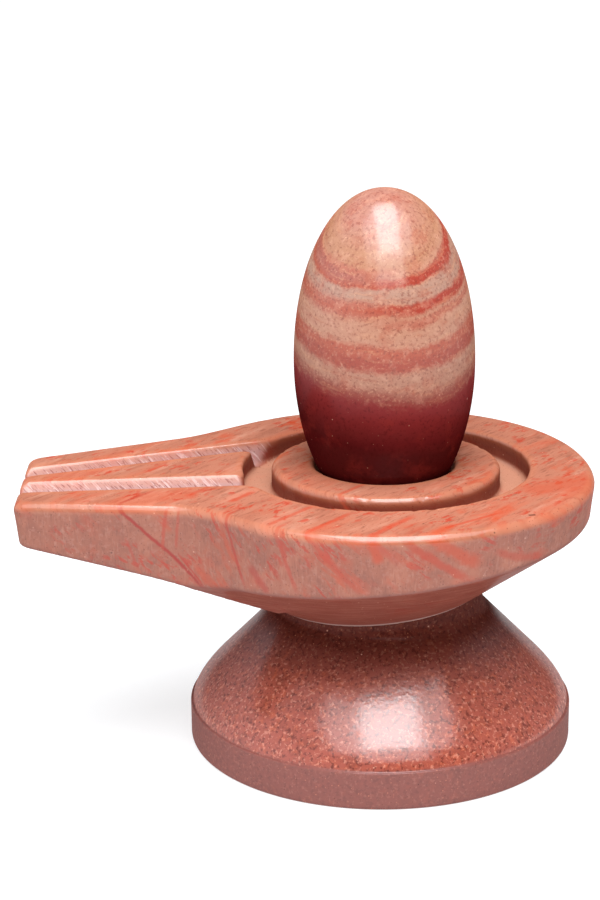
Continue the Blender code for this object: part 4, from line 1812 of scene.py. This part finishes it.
@dataclass
class Studio:
    """A white sweep in a dim tent lit from above, with the camera where the photographer stood.

    Places and distances are in millimetres. The room's light is its dim part, more towards both sides, and
    more again towards the left. The sweep glows between two strengths at two distances from the stone.
    """

    camera_place: Triple = (-101.92, -572.51, 262.93)
    camera_heading: float = PICTURE_TURN
    camera_pitch: float = math.radians(17.444)
    camera_roll: float = math.radians(-0.55)
    lens: float = 91.67
    sensor: float = 36.0
    near_clip: float = 10.0
    room_colour: str = "#e4edf6"
    room_dim: float = 0.12
    room_sides: float = 0.9
    room_left: float = 0.45
    floor_size: float = 12000.0
    floor_white: float = 0.38
    floor_roughness: float = 0.6
    floor_glow: Pair = (0.7, 0.95)
    floor_glow_reach: Pair = (80.0, 1150.0)
    softboxes: tuple[Softbox, ...] = (
        Softbox("tent_roof", 66.0, (980.0, 700.0), 6.6, 745.0),
        Softbox("roof_panel", 74.0, (415.0, 760.0), 7.7),
        Softbox("roof_edge", 36.0, (490.0, 285.0), 1.3),
    )
    light_colour: str = "#f8fafd"
    target: Triple = (0.0, 0.0, 90.0)

    def add_camera(self) -> None:
        """Puts the camera at the photograph's place."""
        cos, sin = math.cos, math.sin
        heading, pitch, roll = self.camera_heading, self.camera_pitch, self.camera_roll
        forward = Vector((sin(heading) * cos(pitch), cos(heading) * cos(pitch), -sin(pitch)))
        level = Vector((cos(heading), -sin(heading), 0.0))
        upright = level.cross(forward)
        right = level * cos(roll) + upright * sin(roll)
        up = upright * cos(roll) - level * sin(roll)
        camera = bpy.data.cameras.new("camera")
        camera.lens = self.lens
        camera.sensor_width = self.sensor
        camera.clip_start = self.near_clip * MM
        obj = bpy.data.objects.new("camera", camera)
        turn = Matrix((right, up, -forward)).transposed().to_4x4()
        obj.matrix_world = Matrix.Translation(Vector(self.camera_place) * MM) @ turn
        bpy.context.scene.collection.objects.link(obj)
        bpy.context.scene.camera = obj

    def add_floor(self) -> None:
        """Lays the white sweep, lit from below as a light table is, so that it stays white far back."""
        half = self.floor_size / 2 * MM
        corners = np.array([(-half, -half, 0.0), (half, -half, 0.0), (half, half, 0.0), (-half, half, 0.0)])
        floor = mesh_object("floor", corners, faces=[(0, 1, 2, 3)])
        material = bpy.data.materials.new("white_acrylic_sweep")
        material.use_nodes = True
        add = partial(add_node, material.node_tree)
        shader = material.node_tree.nodes["Principled BSDF"]
        shader.inputs["Base Color"].default_value = (*[self.floor_white] * 3, 1.0)
        shader.inputs["Roughness"].default_value = self.floor_roughness
        shader.inputs["Specular IOR Level"].default_value = 0.0
        shader.inputs["Emission Color"].default_value = (1.0, 1.0, 1.0, 1.0)
        place = add("ShaderNodeTexCoord", output="Object")
        away = add("ShaderNodeVectorMath", {0: place}, "Value", operation="LENGTH")
        near, far = (reach * MM for reach in self.floor_glow_reach)
        spread = {"Value": away, "From Min": near, "From Max": far}
        spread.update({"To Min": self.floor_glow[0], "To Max": self.floor_glow[1]})
        glow = add("ShaderNodeMapRange", spread)
        material.node_tree.links.new(glow, shader.inputs["Emission Strength"])
        floor.data.materials.append(material)

    def add_softbox(self, softbox: Softbox) -> None:
        """Hangs a softbox in front of the stone, facing it.

        Args:
            softbox: The softbox.
        """
        light = bpy.data.lights.new(softbox.name, "AREA")
        light.shape = "RECTANGLE"
        light.size, light.size_y = (side * MM for side in softbox.size)
        light.energy = softbox.power
        light.color = linear(self.light_colour)[:3]
        elevation = math.radians(softbox.elevation)
        direction = Vector((0.0, -math.cos(elevation), math.sin(elevation)))
        obj = bpy.data.objects.new(softbox.name, light)
        obj.location = (Vector(self.target) + direction * softbox.distance) * MM
        obj.rotation_euler = (math.pi / 2 - elevation, 0.0, 0.0)
        bpy.context.scene.collection.objects.link(obj)

    def add_room(self) -> None:
        """Fills the room with pale, cool light, brighter from both sides and most from the left."""
        world = bpy.data.worlds.new("pale_room")
        world.use_nodes = True
        add = partial(add_node, world.node_tree)
        background = world.node_tree.nodes["Background"]
        background.inputs["Color"].default_value = linear(self.room_colour)
        place = add("ShaderNodeTexCoord", output="Generated")
        way = add("ShaderNodeSeparateXYZ", {0: place}).node.outputs
        square = add("ShaderNodeMath", {0: way["X"], 1: way["X"]}, operation="MULTIPLY")
        glow = self.room_dim
        for share, strength in ((square, self.room_sides), (way["X"], -self.room_left)):
            glow = add("ShaderNodeMath", {0: share, 1: strength, 2: glow}, operation="MULTIPLY_ADD")
        glow = add("ShaderNodeMath", {0: glow, 1: 0.0}, operation="MAXIMUM")
        world.node_tree.links.new(glow, background.inputs["Strength"])
        bpy.context.scene.world = world

    def build(self) -> None:
        """Sets up the whole studio."""
        self.add_camera()
        self.add_floor()
        self.add_room()
        for softbox in self.softboxes:
            self.add_softbox(softbox)
        bpy.context.scene.view_settings.view_transform = "Standard"


def dress(piece: bpy.types.Object, node: str) -> None:
    """Puts a finished piece in the place of its solid and reports it.

    Args:
        piece: The piece.
        node: The solid's node.
    """
    piece.data.shade_smooth()
    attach(piece, "root")
    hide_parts(node)
    triangles = sum(len(face.vertices) - 2 for face in piece.data.polygons)
    LOG.info("%s: %d triangles in place of %s", piece.name, triangles, node)


def main() -> None:
    """Builds the studio and the three stones."""
    logging.basicConfig(level=logging.INFO, format="%(name)s: %(message)s")
    Studio().build()
    lathe, weather = Lathe(), Weather()
    dress(BellFoot().build(lathe, weather, SpeckledStone().material()), "pedestal")
    dress(SpoutedDish().build(SurfaceNet(), weather, VeinedStone().material()), "yoni_plate")
    dress(EggStone().build(lathe, weather, BandedJasper().material()), "lingam")


if __name__ == "__main__":
    main()
